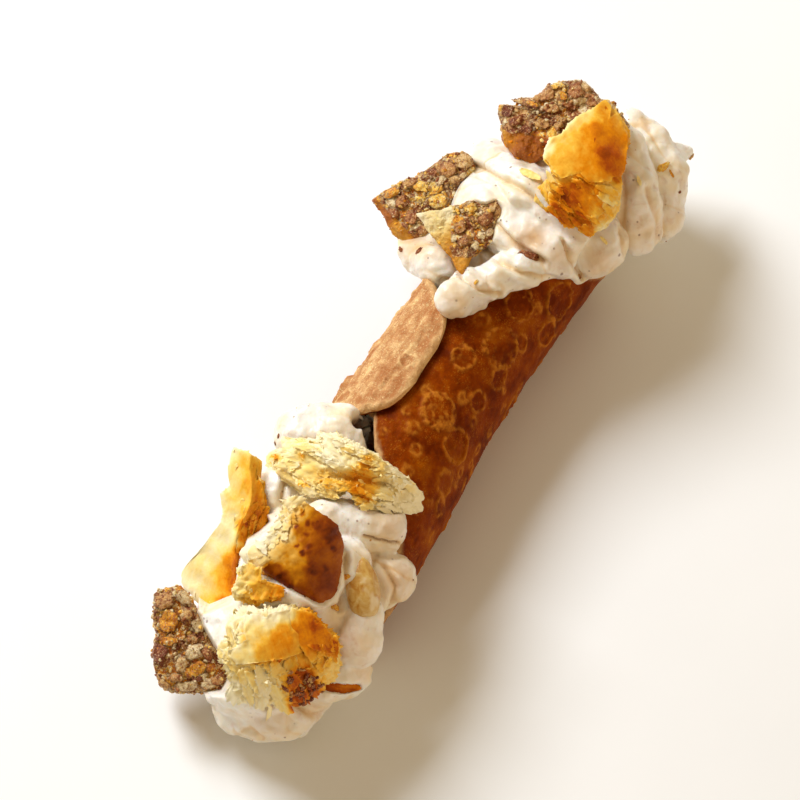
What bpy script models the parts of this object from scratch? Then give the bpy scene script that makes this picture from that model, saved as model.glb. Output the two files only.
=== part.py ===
"""A cannoli topped with broken baklava, lying on a flat surface.

A blistered shell of fried dough, rolled from one sheet, holds whipped cream that swells out of both slanted
mouths. Ten torn pieces of baklava, a whole nut and a strip of crust are pressed into the cream.
X runs along the shell, Z is up, and the origin is in the middle of the flat strip that the shell rests on.
Lengths are in millimetres, and scaled to metres when a mesh is made.
"""

import math
import random

import bmesh
import bpy
import numpy as np
from mathutils import Vector, noise
from mathutils.kdtree import KDTree

MM = 0.001

# Driving dimensions, in millimetres
SHELL_RADIUS = 14.0
SHELL_WALL = 1.8
FLAP_STEP = 1.4
FLAP_FADE = 40
UNDER_DIP = 0.5
REST_DEPTH = 0.3
# The roll is out of round: mm taken off its half width, and mm that its middle shifts, along X
NARROWING = [(-45, 0.0), (-27, 0.0), (-13, 0.4), (0, 1.0), (16, 1.6), (28, 1.3), (45, 0.4)]
SIDE_SHIFT = [(-45, 0.0), (-27, 0.0), (-13, 0.4), (0, 1.0), (16, 0.5), (28, 0.3), (45, 0.0)]
CORE_RADIUS = 10.0
CORE_DROP = 0.9
CORE_HALF_LENGTH = 34.0
GAP = 0.4
SHELL_GAP = 0.6

AXIS_HEIGHT = SHELL_RADIUS - REST_DEPTH
AXIS = Vector((0.0, 0.0, AXIS_HEIGHT))

# The side that shows faces up and a little towards -X and -Y, and the toppings are laid out across it
SHOWN_TURN = math.radians(-60.8)
SHOWN_RISE = math.radians(60.0)
ACROSS = Vector((math.cos(SHOWN_TURN), math.sin(SHOWN_TURN), 0.0))
TOWARD = Vector((
    math.sin(SHOWN_TURN) * math.cos(SHOWN_RISE),
    -math.cos(SHOWN_TURN) * math.cos(SHOWN_RISE),
    math.sin(SHOWN_RISE),
))
UPWARD = TOWARD.cross(ACROSS)

# Half the sheet's length, in mm, at some angles round the roll, in degrees from the flap's free edge.
# The sheet is short where the flap laps over its other end, and longest on the underside.
FLAP_ANGLE = 90.0
SHEET_TURN = 404.0
TONGUE_TURN = 22.0
TONGUE_LENGTH = 13.0
LOW_MOUTH = [(22, 13.0), (32, 14.5), (74, 12.0), (120, 27.0), (160, 41.0), (202, 46.0),
             (254, 42.5), (300, 34.0), (344, 24.5), (367, 18.5), (382, 13.0)]
HIGH_MOUTH = [(22, 13.0), (32, 15.5), (74, 24.0), (120, 34.0), (160, 42.0), (202, 45.0),
              (254, 43.0), (306, 33.5), (344, 25.0), (367, 18.5), (382, 13.0)]

# Blisters in the fried dough: degrees round the roll, mm along it, mm across
BLISTERS = [(326, 21, 6.2), (296, 28, 7.3), (318, 12, 8.0), (304, 16, 3.4), (340, 5.5, 4.8),
            (304, 7.5, 4.0), (309, 1, 4.0), (335, -6.5, 7.2), (307, -9, 6.4), (299, -16, 4.8),
            (285, 22, 5.2), (12, -1, 4.0), (346, -12, 2.8), (290, -20, 3.4), (262, 8, 5.0)]
HIDDEN_BLISTERS = 26
BLISTER_HEIGHT = 0.55

# Piped cream: each stroke is a run of (x, y, z, radius) points, in mm
HIGH_BODY = ((43.0, 1.5, 16.0), (24.0, 15.0, 15.5))
HIGH_END = ((56.0, -5.0, 14.5), (12.0, 11.0, 12.5))
LOW_BODY = ((-49.5, 1.5, 15.5), (24.5, 15.5, 15.5))
STROKES = [
    [(37, 15.5, 23, 4.8), (33, 6.5, 30.0, 5.0), (31, -5.5, 29.0, 4.6)],
    [(45.5, 13, 23, 5.0), (39, 1.5, 31.5, 5.5), (36.5, -7.0, 28.8, 5.0)],
    [(52, 3, 29, 6.0), (58, -4, 27.0, 5.5)],
    [(22, 11.0, 23.5, 3.8), (25.4, 16.6, 18.5, 4.2), (33, 16.5, 17.0, 5.0)],
    [(13.2, 3.0, 30.6, 3.5), (17, 2.0, 29.0, 4.2)],
    [(20.5, -0.3, 28.8, 3.5), (26.6, -3.9, 28.7, 3.8), (32.5, -8.2, 26.8, 3.8)],
    [(41.0, -11.2, 21.4, 6.2), (43.0, -8.0, 17.0, 5.0)],
    [(58, -7.4, 25.5, 5.0), (53.2, -12.2, 22.5, 5.2), (49.6, -15.2, 17.2, 4.8)],
    [(66.2, -5.4, 20, 3.9), (65, -9.5, 19, 4.6), (62.5, -13.2, 17.5, 5.0), (55.8, -16.3, 14.5, 5.0)],
    [(66.5, -13.3, 16.8, 3.0), (69.0, -14.8, 15.6, 1.5)],
    [(-21.9, 14.0, 23.8, 6.2), (-18.9, 8.9, 23.9, 6.2), (-25.5, 10.0, 22.0, 6.0)],
    [(-34.5, 13.2, 22.5, 5.4), (-38, 16.5, 17.0, 5.2), (-46, 14.5, 20.0, 5.2)],
    [(-38, 0.5, 29.0, 4.8), (-32.8, -8.0, 25.8, 4.6)],
    [(-38.2, -12.4, 20.0, 4.9), (-42.0, -9.0, 17.0, 4.6)],
    [(-43.5, -6.0, 28.0, 5.0), (-52, -3.0, 28.5, 5.2), (-57, 3, 27, 5.0)],
    [(-52.9, -13.4, 20.3, 5.0), (-48.5, -12.5, 23.0, 3.8)],
    [(-56.1, -13.2, 14.0, 5.0), (-60, -10.5, 15.5, 4.8)],
    [(-67.6, 0.3, 8.8, 6.8), (-66, -5.5, 10.0, 6.9), (-61.5, -8.0, 10.4, 5.2)],
    [(-63, 8.4, 19.0, 5.2), (-64, 3.0, 24.0, 4.6)],
]
STROKE_STEP = 0.3
SHELL_VOXEL = 0.4
SHELL_TRIANGLES = 3300
CREAM_VOXEL = 0.95
CREAM_TRIANGLES = 2900

# Toppings: where the middle of the shown face is, its outline as seen (mm across and up from that middle),
# how it slopes and bows back from the viewer per mm, its thickness, and how rough it is
TOPPINGS = {
    "nut_piece_left": dict(
        centre=(32.9, 19.1, 26.0), thickness=9.0, slope=(0.25, -0.10), bow=(-0.010, -0.010), crag=0.7,
        outline=[(-10.8, -1), (-5, 2.6), (0.5, 5.5), (4.5, 8.2), (7.3, 7.9), (8.9, 5.5), (5.5, 1.5),
                 (4, -3), (-0.6, -8), (-5.2, -9), (-8.3, -5)]),
    "nut_piece_small": dict(
        centre=(26.1, 7.3, 32.0), thickness=5.0, slope=(0.10, -0.05), bow=(-0.012, -0.006), crag=0.6,
        outline=[(-9.9, 3.8), (-5.5, 4.5), (0.5, 6.4), (3.6, 5.3), (6, 6), (6.4, 3.3), (5.1, -0.4),
                 (2.4, -3.7), (0, -6.8), (-0.9, -8.4), (-2.9, -5), (-6.2, -1.1)]),
    "nut_piece_top": dict(
        centre=(53.1, 3.5, 37.0), thickness=9.0, slope=(0.0, -0.25), bow=(-0.012, -0.015), crag=0.8,
        outline=[(-11, 2.5), (-10.6, -2.4), (-8.4, -7.7), (-5.3, -9.2), (3.3, -9), (9.7, -9), (13.8, -6),
                 (13.5, -1), (8.4, 3.8), (3.5, 7.3), (-1.8, 6), (-5, 2), (-8.8, 3.3)]),
    "crust_leaf": dict(
        centre=(45.6, -6.0, 39.2), thickness=2.2, slope=(-0.20, -0.34), bow=(-0.016, -0.030), crag=0.35,
        outline=[(4, 12.5), (0.5, 10.2), (-4.1, 5.8), (-7.2, 3.2), (-7.2, 1.6), (-5.7, 0.2), (-6.8, -3),
                 (-9.2, -5.5), (-9.2, -7.2), (-5.9, -10.9), (-3.5, -13.1), (0.3, -15.1), (5.1, -11.6),
                 (7.3, -6.1), (6.7, -3.6), (8.2, 2.8), (9.1, 4.1), (6.9, 9.2)]),
    "filo_drape": dict(
        centre=(-31.3, 0.2, 36.0), thickness=3.2, slope=(0.05, 0.02), bow=(-0.040, -0.020), crag=0.6,
        outline=[(-14.4, 4), (-10.6, 6.5), (-5.3, 6.5), (-4.9, 8.6), (1.7, 6), (8.1, 1.8), (13.8, -3),
                 (13, -4.5), (13.8, -6), (9.2, -6.6), (3.2, -5.7), (0.2, -2.1), (-4, -4.1),
                 (-8.9, -2.6), (-13.9, 0.9)]),
    "filo_curl": dict(
        centre=(-43.8, 15.1, 26.5), thickness=1.6, slope=(0.55, -0.05), bow=(-0.030, -0.006), crag=0.3,
        outline=[(-3.2, 10.9), (-1.9, 13.1), (3.2, 10.9), (3.4, 8), (2.3, 6.4), (5.1, -0.4), (1, -3.5),
                 (-1.1, -11.4), (-1.7, -14.5), (-6.5, -16.5), (-10.7, -12.3), (-11.2, -9.4),
                 (-7.4, -5.2), (-3.9, -0.4), (-4.1, 4.7), (-2.1, 6.4), (-2.6, 8.9)]),
    "soaked_slab": dict(
        centre=(-51.0, 0.2, 38.0), thickness=4.5, slope=(0.05, 0.0), bow=(-0.035, -0.020), crag=0.35,
        outline=[(0.3, 10.3), (-1.4, 7.2), (-4.8, 2.3), (-9.4, 1.6), (-9.1, -0.5), (-6, -3), (-0.8, -6.7),
                 (3.9, -9.4), (6, -9.8), (7.9, -7), (8.7, -0.8), (8.7, 3.6), (4.3, 7.6)]),
    "filo_chunk": dict(
        centre=(-68.0, -4.8, 31.5), thickness=8.0, slope=(-0.08, 0.10), bow=(-0.028, -0.024), crag=0.6,
        outline=[(-5.9, 7.8), (-0.4, 8.2), (2.5, 9.1), (7.1, 7.5), (10.9, 3.4), (12.2, -1.7), (9.4, -5.7),
                 (5.8, -9.4), (0.3, -8.8), (-3.4, -8.1), (-7, -8.8), (-8.3, -7), (-7.2, -5), (-9.6, -0.8),
                 (-9.2, 1.4), (-7.6, 4)]),
    "nut_piece_end": dict(
        centre=(-67.4, 14.2, 17.5), thickness=10.0, slope=(0.10, 0.05), bow=(-0.012, -0.008), crag=0.8,
        outline=[(-5.6, 9.4), (-4.7, 10.5), (-0.4, 11.6), (2.1, 8.1), (6.1, -0.2), (8.9, -6.6), (7.4, -8.8),
                 (1.2, -9.3), (-4.5, -7.8), (-5.8, -2)]),
    "filo_scrap": dict(
        centre=(-58.6, 3.8, 34.6), thickness=3.0, slope=(0.05, 0.05), bow=(-0.03, -0.03), crag=0.35,
        outline=[(-3.4, 3.5), (-1.7, 4.2), (0.8, 3), (0.8, 0.9), (5.2, -0.5), (5.4, -2.2), (-0.1, -3.5),
                 (-3.9, -2.2), (-4.3, -0.5), (-3, 2.2)]),
    "crust_strip": dict(
        centre=(-60.2, -14.2, 15.2), thickness=1.6, slope=(-0.25, 0.10), bow=(-0.02, 0.0), crag=0.10,
        outline=[(-3.7, 1.3), (0.7, 0.7), (4, 0.6), (4.4, -0.4), (1.1, -1.2), (-1.7, -0.8), (-3.9, 0.2)]),
}
WHOLE_NUT = dict(centre=(-46.6, -11.6, 29.0), radii=(3.1, 5.8, 2.8), lean=math.radians(8.0))
# Each of these is cut back where the other one lies on it
LAID_OVER = [("nut_piece_left", "nut_piece_small"), ("nut_piece_top", "crust_leaf"),
             ("nut_piece_end", "filo_curl"), ("filo_curl", "filo_drape"), ("soaked_slab", "filo_drape"),
             ("filo_scrap", "soaked_slab"), ("filo_scrap", "filo_chunk"), ("filo_scrap", "filo_curl"),
             ("soaked_slab", "filo_chunk"), ("soaked_slab", "filo_curl"), ("nut_piece_end", "filo_chunk"),
             ("crust_strip", "filo_chunk"), ("whole_nut", "soaked_slab"), ("filo_curl", "filo_chunk")]

COLOURS = {
    "shell": ((0.42, 0.16, 0.04), 0.45),
    "cream": ((0.86, 0.78, 0.64), 0.40),
    "nut": ((0.33, 0.19, 0.11), 0.60),
    "crust": ((0.80, 0.42, 0.07), 0.35),
    "filo": ((0.86, 0.66, 0.28), 0.45),
    "soaked": ((0.45, 0.20, 0.03), 0.35),
    "kernel": ((0.55, 0.42, 0.16), 0.40),
}


def material(name):
    """A plain material of one colour and roughness."""
    colour, roughness = COLOURS[name]
    made = bpy.data.materials.get(name)
    if made is None:
        made = bpy.data.materials.new(name)
        made.use_nodes = True
        shader = made.node_tree.nodes["Principled BSDF"]
        shader.inputs["Base Color"].default_value = (*colour, 1.0)
        shader.inputs["Roughness"].default_value = roughness
        shader.inputs["Metallic"].default_value = 0.0
    return made


def object_of(name, points, faces, finish=None):
    """An object from points in millimetres and faces."""
    mesh = bpy.data.meshes.new(name)
    mesh.from_pydata([tuple(float(c) * MM for c in p) for p in points], [], [tuple(f) for f in faces])
    mesh.update()
    obj = bpy.data.objects.new(name, mesh)
    bpy.context.scene.collection.objects.link(obj)
    if finish:
        mesh.materials.append(material(finish))
    return obj


def applied(obj, kind, **settings):
    """Adds one modifier to an object and bakes its result into the mesh."""
    modifier = obj.modifiers.new(kind.title(), kind)
    for key, value in settings.items():
        setattr(modifier, key, value)
    graph = bpy.context.evaluated_depsgraph_get()
    graph.update()
    made = bpy.data.meshes.new_from_object(obj.evaluated_get(graph))
    obj.modifiers.remove(modifier)
    old = obj.data
    obj.data = made
    bpy.data.meshes.remove(old)
    return obj


def thinned(obj, triangles):
    """Merges triangles where the surface is flattest, down to about that many."""
    obj.data.calc_loop_triangles()
    share = triangles / max(1, len(obj.data.loop_triangles))
    if share < 1.0:
        applied(obj, "DECIMATE", ratio=share, use_collapse_triangulate=True)
    return obj


def largest_body(obj):
    """Drops every loose scrap that is not joined to the main body."""
    bm = bmesh.new()
    bm.from_mesh(obj.data)
    left = set(bm.verts)
    bodies = []
    while left:
        start = left.pop()
        body, edge_of_body = {start}, [start]
        while edge_of_body:
            for edge in edge_of_body.pop().link_edges:
                for vert in edge.verts:
                    if vert in left:
                        left.discard(vert)
                        body.add(vert)
                        edge_of_body.append(vert)
        bodies.append(body)
    bodies.sort(key=len)
    for body in bodies[:-1]:
        bmesh.ops.delete(bm, geom=list(body), context="VERTS")
    bm.to_mesh(obj.data)
    bm.free()
    return obj


def swollen(obj, by):
    """A copy of an object with every point moved out by some millimetres, used to cut room for it."""
    mesh = obj.data.copy()
    normals = [v.normal.copy() for v in mesh.vertices]
    for vert, normal in zip(mesh.vertices, normals):
        vert.co += normal * by * MM
    cutter = bpy.data.objects.new(obj.name + "_room", mesh)
    bpy.context.scene.collection.objects.link(cutter)
    return cutter


def cut(obj, cutter):
    """Takes the cutter out of the object, then removes the cutter."""
    applied(obj, "BOOLEAN", object=cutter, operation="DIFFERENCE", solver="MANIFOLD")
    bpy.data.objects.remove(cutter)
    return obj


def smooth_step(low, high, value):
    """0 below low, 1 above high, and a smooth rise between."""
    share = np.clip((np.asarray(value, float) - low) / (high - low), 0.0, 1.0)
    return share * share * (3.0 - 2.0 * share)


def half_length(mouth, turn):
    """How far the sheet reaches from its middle towards one mouth, at an angle round the roll."""
    turn = np.asarray(turn, float)
    from_tip = np.minimum(turn, SHEET_TURN - turn)
    share = np.clip(1.0 - from_tip / TONGUE_TURN, 0.0, 1.0)
    tongue = TONGUE_LENGTH * np.sqrt(np.clip(1.0 - share * share, 0.0, 1.0))
    angles, lengths = zip(*mouth)
    middle = np.interp(turn, angles, lengths)
    return np.where(from_tip < 0.0, 0.0, np.where(from_tip < TONGUE_TURN, tongue, middle))


def blister_list():
    """The blisters that show, and more of the same kind scattered over the rest of the shell."""
    draw = random.Random(7)
    made = list(BLISTERS)
    while len(made) < len(BLISTERS) + HIDDEN_BLISTERS:
        turn, along = draw.uniform(60, 255), draw.uniform(-38, 38)
        across = draw.uniform(3.0, 7.5)
        reach = float(half_length(HIGH_MOUTH if along > 0 else LOW_MOUTH, turn))
        apart = all(math.hypot(math.radians(turn - t) * SHELL_RADIUS, along - x) > 0.55 * (across + d)
                    for t, x, d in made)
        if abs(along) < reach - 3.0 and apart:
            made.append((turn, along, across))
    return made


BLISTER_LIST = blister_list()


def blister_relief(turn, along, blisters):
    """Height of the blisters: a raised ring round a slightly sunken middle."""
    height = np.zeros_like(along)
    for t, x, across in blisters:
        away = (turn - t + 180.0) % 360.0 - 180.0
        reach = np.hypot(np.radians(away) * SHELL_RADIUS, along - x) / (across / 2)
        ring = np.exp(-((reach - 0.72) / 0.26) ** 2) + 0.45 * np.exp(-(reach / 0.5) ** 2)
        height += BLISTER_HEIGHT * ring * np.clip(across / 6.0, 0.4, 1.1)
    return height


def shell_point(angle, along, radius, floor=0.0):
    """A point of the roll, with the strip that it rests on kept flat at Z = 0."""
    narrowing = np.interp(along, *zip(*NARROWING))
    y = np.interp(along, *zip(*SIDE_SHIFT)) + (radius - narrowing) * np.cos(np.radians(angle))
    z = AXIS_HEIGHT + radius * np.sin(np.radians(angle))
    return np.stack([along, y, np.maximum(z, floor)], axis=-1)


def tube(name, spread, columns, outer_rows, inner_rows, finish=None, skirt=0.0):
    """The rolled shell as one closed tube, without the flap that laps over it.

    spread widens the wall and the mouths and adds the flap, to make a cutter. skirt widens the cutter's
    underside alone, because the cream swells over the rim but doesn't wrap the shell from below.
    """
    angle = np.arange(columns) * 360.0 / columns
    over = (FLAP_ANGLE - angle) % 360.0
    under = over + 360.0
    low = np.maximum(half_length(LOW_MOUTH, over), half_length(LOW_MOUTH, under)) + spread
    high = np.maximum(half_length(HIGH_MOUTH, over), half_length(HIGH_MOUTH, under)) + spread
    wobble = 0.5 * np.sin(np.radians(angle * 5)) + 0.35 * np.sin(np.radians(angle * 11 + 40))
    low, high = low + wobble * 0.6, high + wobble * 0.6
    floor = -20.0 if spread else 0.0
    outer, inner = [], []
    for row in range(outer_rows + 1):
        along = -low + (low + high) * row / outer_rows
        radius = SHELL_RADIUS - UNDER_DIP * smooth_step(330, 360, over) + spread
        radius = radius + blister_relief(over, along, BLISTER_LIST)
        if spread:
            radius = radius + (FLAP_STEP + UNDER_DIP) * (1 - smooth_step(FLAP_FADE, 110, over)) * (over < 110)
            radius = radius + skirt * smooth_step(78, 118, over) * (1 - smooth_step(236, 262, over))
        outer.append(shell_point(angle, along, radius, floor))
    for row in range(inner_rows + 1):
        along = high - (low + high) * row / inner_rows
        radius = np.full(columns, SHELL_RADIUS - SHELL_WALL - UNDER_DIP - spread)
        inner.append(shell_point(angle, along, radius, -20.0))
    loops = outer + inner
    points = np.concatenate(loops)
    faces = []
    for row in range(len(loops)):
        start, after = row * columns, (row + 1) % len(loops) * columns
        for c in range(columns):
            d = (c + 1) % columns
            faces.append((start + c, start + d, after + d, after + c))
    return object_of(name, points, faces, finish)


def flap(columns, rows):
    """The end of the sheet that laps over the roll, thickest at its free edge."""
    over = 1.5 + (108.0 - 1.5) * (np.arange(columns + 1) / columns) ** 1.5
    angle = FLAP_ANGLE - over
    low, high = half_length(LOW_MOUTH, over), half_length(HIGH_MOUTH, over)
    step = FLAP_STEP * (1 - smooth_step(FLAP_FADE, 90, over)) - 1.0 * smooth_step(50, 108, over)
    points = []
    for level in (1, 0):
        for row in range(rows + 1):
            along = (-low + (low + high) * row / rows) * 0.995
            radius = np.where(level, SHELL_RADIUS + step, SHELL_RADIUS - UNDER_DIP - 0.6)
            if level:
                radius = radius + 0.9 * blister_relief(over, along, BLISTER_LIST)
            points.append(shell_point(angle, along, radius))
    points = np.concatenate(points)
    wide, size = columns + 1, (columns + 1) * (rows + 1)
    faces = []
    for r in range(rows):
        for c in range(columns):
            a, b, d, e = r * wide + c, r * wide + c + 1, (r + 1) * wide + c + 1, (r + 1) * wide + c
            faces += [(a, b, d, e), (size + a, size + e, size + d, size + b)]
    rim = [c for c in range(wide)] + [r * wide + columns for r in range(1, rows + 1)]
    rim += [rows * wide + c for c in range(columns - 1, -1, -1)] + [r * wide for r in range(rows - 1, 0, -1)]
    faces += [(size + a, size + b, b, a) for a, b in zip(rim, rim[1:] + rim[:1])]
    return object_of("flap", points, faces)


def rolled_shell():
    """The whole shell: the roll and its flap, merged into one wall, with a flat strip to rest on."""
    shell = tube("shell", 0.0, 144, 120, 30, "shell")
    lap = flap(40, 36)
    applied(shell, "BOOLEAN", object=lap, operation="UNION", solver="MANIFOLD")
    bpy.data.objects.remove(lap)
    applied(shell, "REMESH", mode="VOXEL", voxel_size=SHELL_VOXEL * MM)
    for vert in shell.data.vertices:
        if vert.co.z < 0.08 * MM:
            vert.co.z = 0.0
    thinned(shell, SHELL_TRIANGLES)
    shell.data.materials.clear()
    shell.data.materials.append(material("shell"))
    return shell


def ball(centre, radii, fineness=3):
    """Points and faces of an ellipsoid."""
    bm = bmesh.new()
    bmesh.ops.create_icosphere(bm, subdivisions=fineness, radius=1.0)
    points = [tuple(c + v * r for c, v, r in zip(centre, vert.co, radii)) for vert in bm.verts]
    faces = [[v.index for v in face.verts] for face in bm.faces]
    bm.free()
    return points, faces


def stroke_balls(stroke):
    """Balls set close together along a stroke of the piping bag."""
    made = []
    for start, end in zip(stroke, stroke[1:]):
        length = math.dist(start[:3], end[:3])
        steps = max(2, int(length / (STROKE_STEP * min(start[3], end[3]))))
        for i in range(steps + 1):
            x, y, z, r = (a + (b - a) * i / steps for a, b in zip(start, end))
            made.append(ball((x, y, z), (r, r, r), 2))
    return made


def core_of_cream():
    """The filling inside the shell, which lies a little low in it."""
    points, faces = [], []
    bm = bmesh.new()
    bmesh.ops.create_cone(bm, cap_ends=True, segments=32, radius1=CORE_RADIUS, radius2=CORE_RADIUS,
                          depth=2 * CORE_HALF_LENGTH)
    for vert in bm.verts:
        points.append((vert.co.z, vert.co.y, AXIS_HEIGHT - CORE_DROP - vert.co.x))
    for face in bm.faces:
        faces.append([v.index for v in face.verts])
    bm.free()
    return points, faces


def cream():
    """The whipped cream: both dollops and the filling that joins them, merged into one smooth body."""
    shapes = [core_of_cream(), ball(*HIGH_BODY, 4), ball(*HIGH_END, 4), ball(*LOW_BODY, 4)]
    for stroke in STROKES:
        shapes += stroke_balls(stroke)
    points, faces = [], []
    for shape_points, shape_faces in shapes:
        first = len(points)
        points += shape_points
        faces += [[first + i for i in face] for face in shape_faces]
    body = object_of("cream", points, faces, "cream")
    applied(body, "REMESH", mode="VOXEL", voxel_size=CREAM_VOXEL * MM)
    applied(body, "SMOOTH", factor=0.5, iterations=2)
    level_at_floor(body)
    thinned(body, CREAM_TRIANGLES)
    body.data.materials.clear()
    body.data.materials.append(material("cream"))
    return body


def level_at_floor(obj):
    """Cuts off what would sink below the surface that the part stands on, and closes it flat."""
    bm = bmesh.new()
    bm.from_mesh(obj.data)
    cut_through = bmesh.ops.bisect_plane(bm, geom=bm.verts[:] + bm.edges[:] + bm.faces[:],
                                         plane_co=(0, 0, 0), plane_no=(0, 0, 1), clear_inner=True)
    rim = [e for e in cut_through["geom_cut"] if isinstance(e, bmesh.types.BMEdge)]
    bmesh.ops.holes_fill(bm, edges=rim, sides=0)
    bmesh.ops.triangulate(bm, faces=bm.faces[:])
    bm.to_mesh(obj.data)
    bm.free()


def reach_of(outline, count, ragged, draw):
    """The outline's distance from its middle, at each of its corners and at angles between them."""
    corners = sorted(outline, key=lambda c: math.atan2(c[1], c[0]) % math.tau)
    known = [math.atan2(y, x) % math.tau for x, y in corners]
    angles = list(known)
    while len(angles) < count:
        angles.sort()
        gaps = [(b - a) % math.tau for a, b in zip(angles, angles[1:] + angles[:1])]
        widest = gaps.index(max(gaps))
        angles.append((angles[widest] + gaps[widest] / 2) % math.tau)
    made = []
    for a in sorted(angles):
        after = next((k for k, b in enumerate(known) if b > a), 0)
        (x0, y0), (x1, y1) = corners[after - 1], corners[after]
        reach = (x0 * y1 - x1 * y0) / (math.cos(a) * (y1 - y0) - math.sin(a) * (x1 - x0))
        made.append((a, reach * (1 + draw.uniform(-ragged, ragged))))
    return made


def topping(name, spec, finish, sectors, rings):
    """A torn piece: a craggy shown face, a plainer back, and a rough side between them."""
    draw = random.Random(name)
    middle = Vector(spec["centre"])
    seed = Vector((draw.uniform(-50, 50), draw.uniform(-50, 50), draw.uniform(-50, 50)))
    rim = reach_of(spec["outline"], sectors, 0.03, draw)

    def place(a, b, lift, rough):
        smooth = (spec["slope"][0] * a + spec["slope"][1] * b
                  + spec["bow"][0] * a * a + spec["bow"][1] * b * b)
        bump = noise.noise(seed + Vector((a, b, lift)) * 0.45) * spec["crag"] * rough
        return middle + ACROSS * a + UPWARD * b + TOWARD * (smooth + lift + bump)

    points = [place(0, 0, 0, 1.0)]
    for ring in range(1, rings + 1):
        share = ring / rings
        round_off = -0.18 * spec["thickness"] * share ** 8
        points += [place(math.cos(a) * r * share, math.sin(a) * r * share, round_off, 1.0) for a, r in rim]
    deep = -spec["thickness"]
    side_rows = 1 if spec["thickness"] < 4 else 2
    for row in range(1, side_rows):
        points += [place(math.cos(a) * r * 1.02, math.sin(a) * r * 1.02, deep * row / side_rows, 1.5)
                   for a, r in rim]
    for ring in range(rings, 0, -1):
        share = ring / rings * 0.94
        points += [place(math.cos(a) * r * share, math.sin(a) * r * share, deep, 0.5) for a, r in rim]
    points.append(place(0, 0, deep, 0.5))

    faces = [(0, 1 + i, 1 + (i + 1) % sectors) for i in range(sectors)]
    loops = (len(points) - 2) // sectors
    for loop in range(loops - 1):
        first, after = 1 + loop * sectors, 1 + (loop + 1) * sectors
        for i in range(sectors):
            j = (i + 1) % sectors
            faces.append((first + i, after + i, after + j, first + j))
    last, end = 1 + (loops - 1) * sectors, len(points) - 1
    faces += [(last + i, end, last + (i + 1) % sectors) for i in range(sectors)]
    made = object_of(name, points, faces, finish)
    applied(made, "TRIANGULATE")
    return made


def whole_nut():
    """A peeled kernel, half sunk in the cream."""
    centre, radii = Vector(WHOLE_NUT["centre"]), WHOLE_NUT["radii"]
    side = ACROSS * math.cos(WHOLE_NUT["lean"]) + UPWARD * math.sin(WHOLE_NUT["lean"])
    length = UPWARD * math.cos(WHOLE_NUT["lean"]) - ACROSS * math.sin(WHOLE_NUT["lean"])
    points, faces = ball((0, 0, 0), (1, 1, 1), 2)
    placed = [centre + side * x * radii[0] * (1 - 0.12 * y) + length * y * radii[1] + TOWARD * z * radii[2]
              for x, y, z in points]
    return object_of("whole_nut", placed, faces, "kernel")


FINISH = {"nut_piece_left": "nut", "nut_piece_small": "nut", "nut_piece_top": "nut", "nut_piece_end": "nut",
          "crust_leaf": "crust", "crust_strip": "crust", "filo_drape": "filo", "filo_curl": "filo",
          "filo_chunk": "filo", "filo_scrap": "filo", "soaked_slab": "soaked"}
SMALL = ("filo_scrap", "crust_strip")


def main():
    for obj in list(bpy.data.objects):
        bpy.data.objects.remove(obj)
    shell = rolled_shell()
    filling = cream()
    pieces = {name: topping(name, spec, FINISH[name], 14 if name in SMALL else 22, 2 if name in SMALL else 3)
              for name, spec in TOPPINGS.items()}
    pieces["whole_nut"] = whole_nut()
    for lower, upper in LAID_OVER:
        cut(pieces[lower], swollen(pieces[upper], GAP))
        largest_body(pieces[lower])
    for piece in pieces.values():
        cut(piece, tube("shell_room", SHELL_GAP, 48, 20, 6))
    cut(filling, tube("shell_room", SHELL_GAP, 72, 24, 6, skirt=12.0))
    for piece in pieces.values():
        cut(filling, swollen(piece, GAP))
    largest_body(filling)
    for obj in [shell, filling, *pieces.values()]:
        obj.data.shade_smooth()
        obj.data.set_sharp_from_angle(angle=math.radians(40))


main()
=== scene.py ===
"""A cannoli topped with broken baklava, lying on a pale table in soft light.

Sizes are in millimetres where a name doesn't say otherwise, and meshes are scaled to metres when made.
"""
import math
import random

import bmesh
import bpy
import numpy as np
from mathutils import Matrix, Vector, kdtree, noise
from mathutils.bvhtree import BVHTree


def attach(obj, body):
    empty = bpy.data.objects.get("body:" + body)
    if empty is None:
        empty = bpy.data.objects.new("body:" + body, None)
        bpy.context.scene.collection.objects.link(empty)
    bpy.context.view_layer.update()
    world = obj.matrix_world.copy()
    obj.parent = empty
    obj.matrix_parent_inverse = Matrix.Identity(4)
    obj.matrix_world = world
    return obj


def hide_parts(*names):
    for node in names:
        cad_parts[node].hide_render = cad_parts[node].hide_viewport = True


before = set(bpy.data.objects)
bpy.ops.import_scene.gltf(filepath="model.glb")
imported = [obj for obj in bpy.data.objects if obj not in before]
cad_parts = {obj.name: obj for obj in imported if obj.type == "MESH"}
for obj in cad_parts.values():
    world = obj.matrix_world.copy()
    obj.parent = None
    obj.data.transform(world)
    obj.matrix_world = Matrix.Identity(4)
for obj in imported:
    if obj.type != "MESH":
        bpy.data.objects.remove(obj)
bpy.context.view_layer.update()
MM = 0.001


# The view, the table and the light. The camera looks down at 60 degrees along a long lens. A wide soft
# window light comes from the upper left, and a weak warm one answers it from the lower right.
VIEW_TURN = math.radians(-60.76)
VIEW_RISE = math.radians(60.0)
LENS = 900.0
SENSOR = 36.0
PHOTO_WIDTH = 800
PHOTO_SCALE = 5.464
LOOK_AT_ACROSS = -5.86
LOOK_AT_UPWARD = 1.28
LAMP_DISTANCE = 0.9
WINDOW_COLOUR = (0.94, 0.97, 1.0)
ANSWER_COLOUR = (1.0, 0.68, 0.36)
ROOM_COLOUR = (1.0, 0.77, 0.49, 1.0)
ROOM_STRENGTH = 0.40

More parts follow.
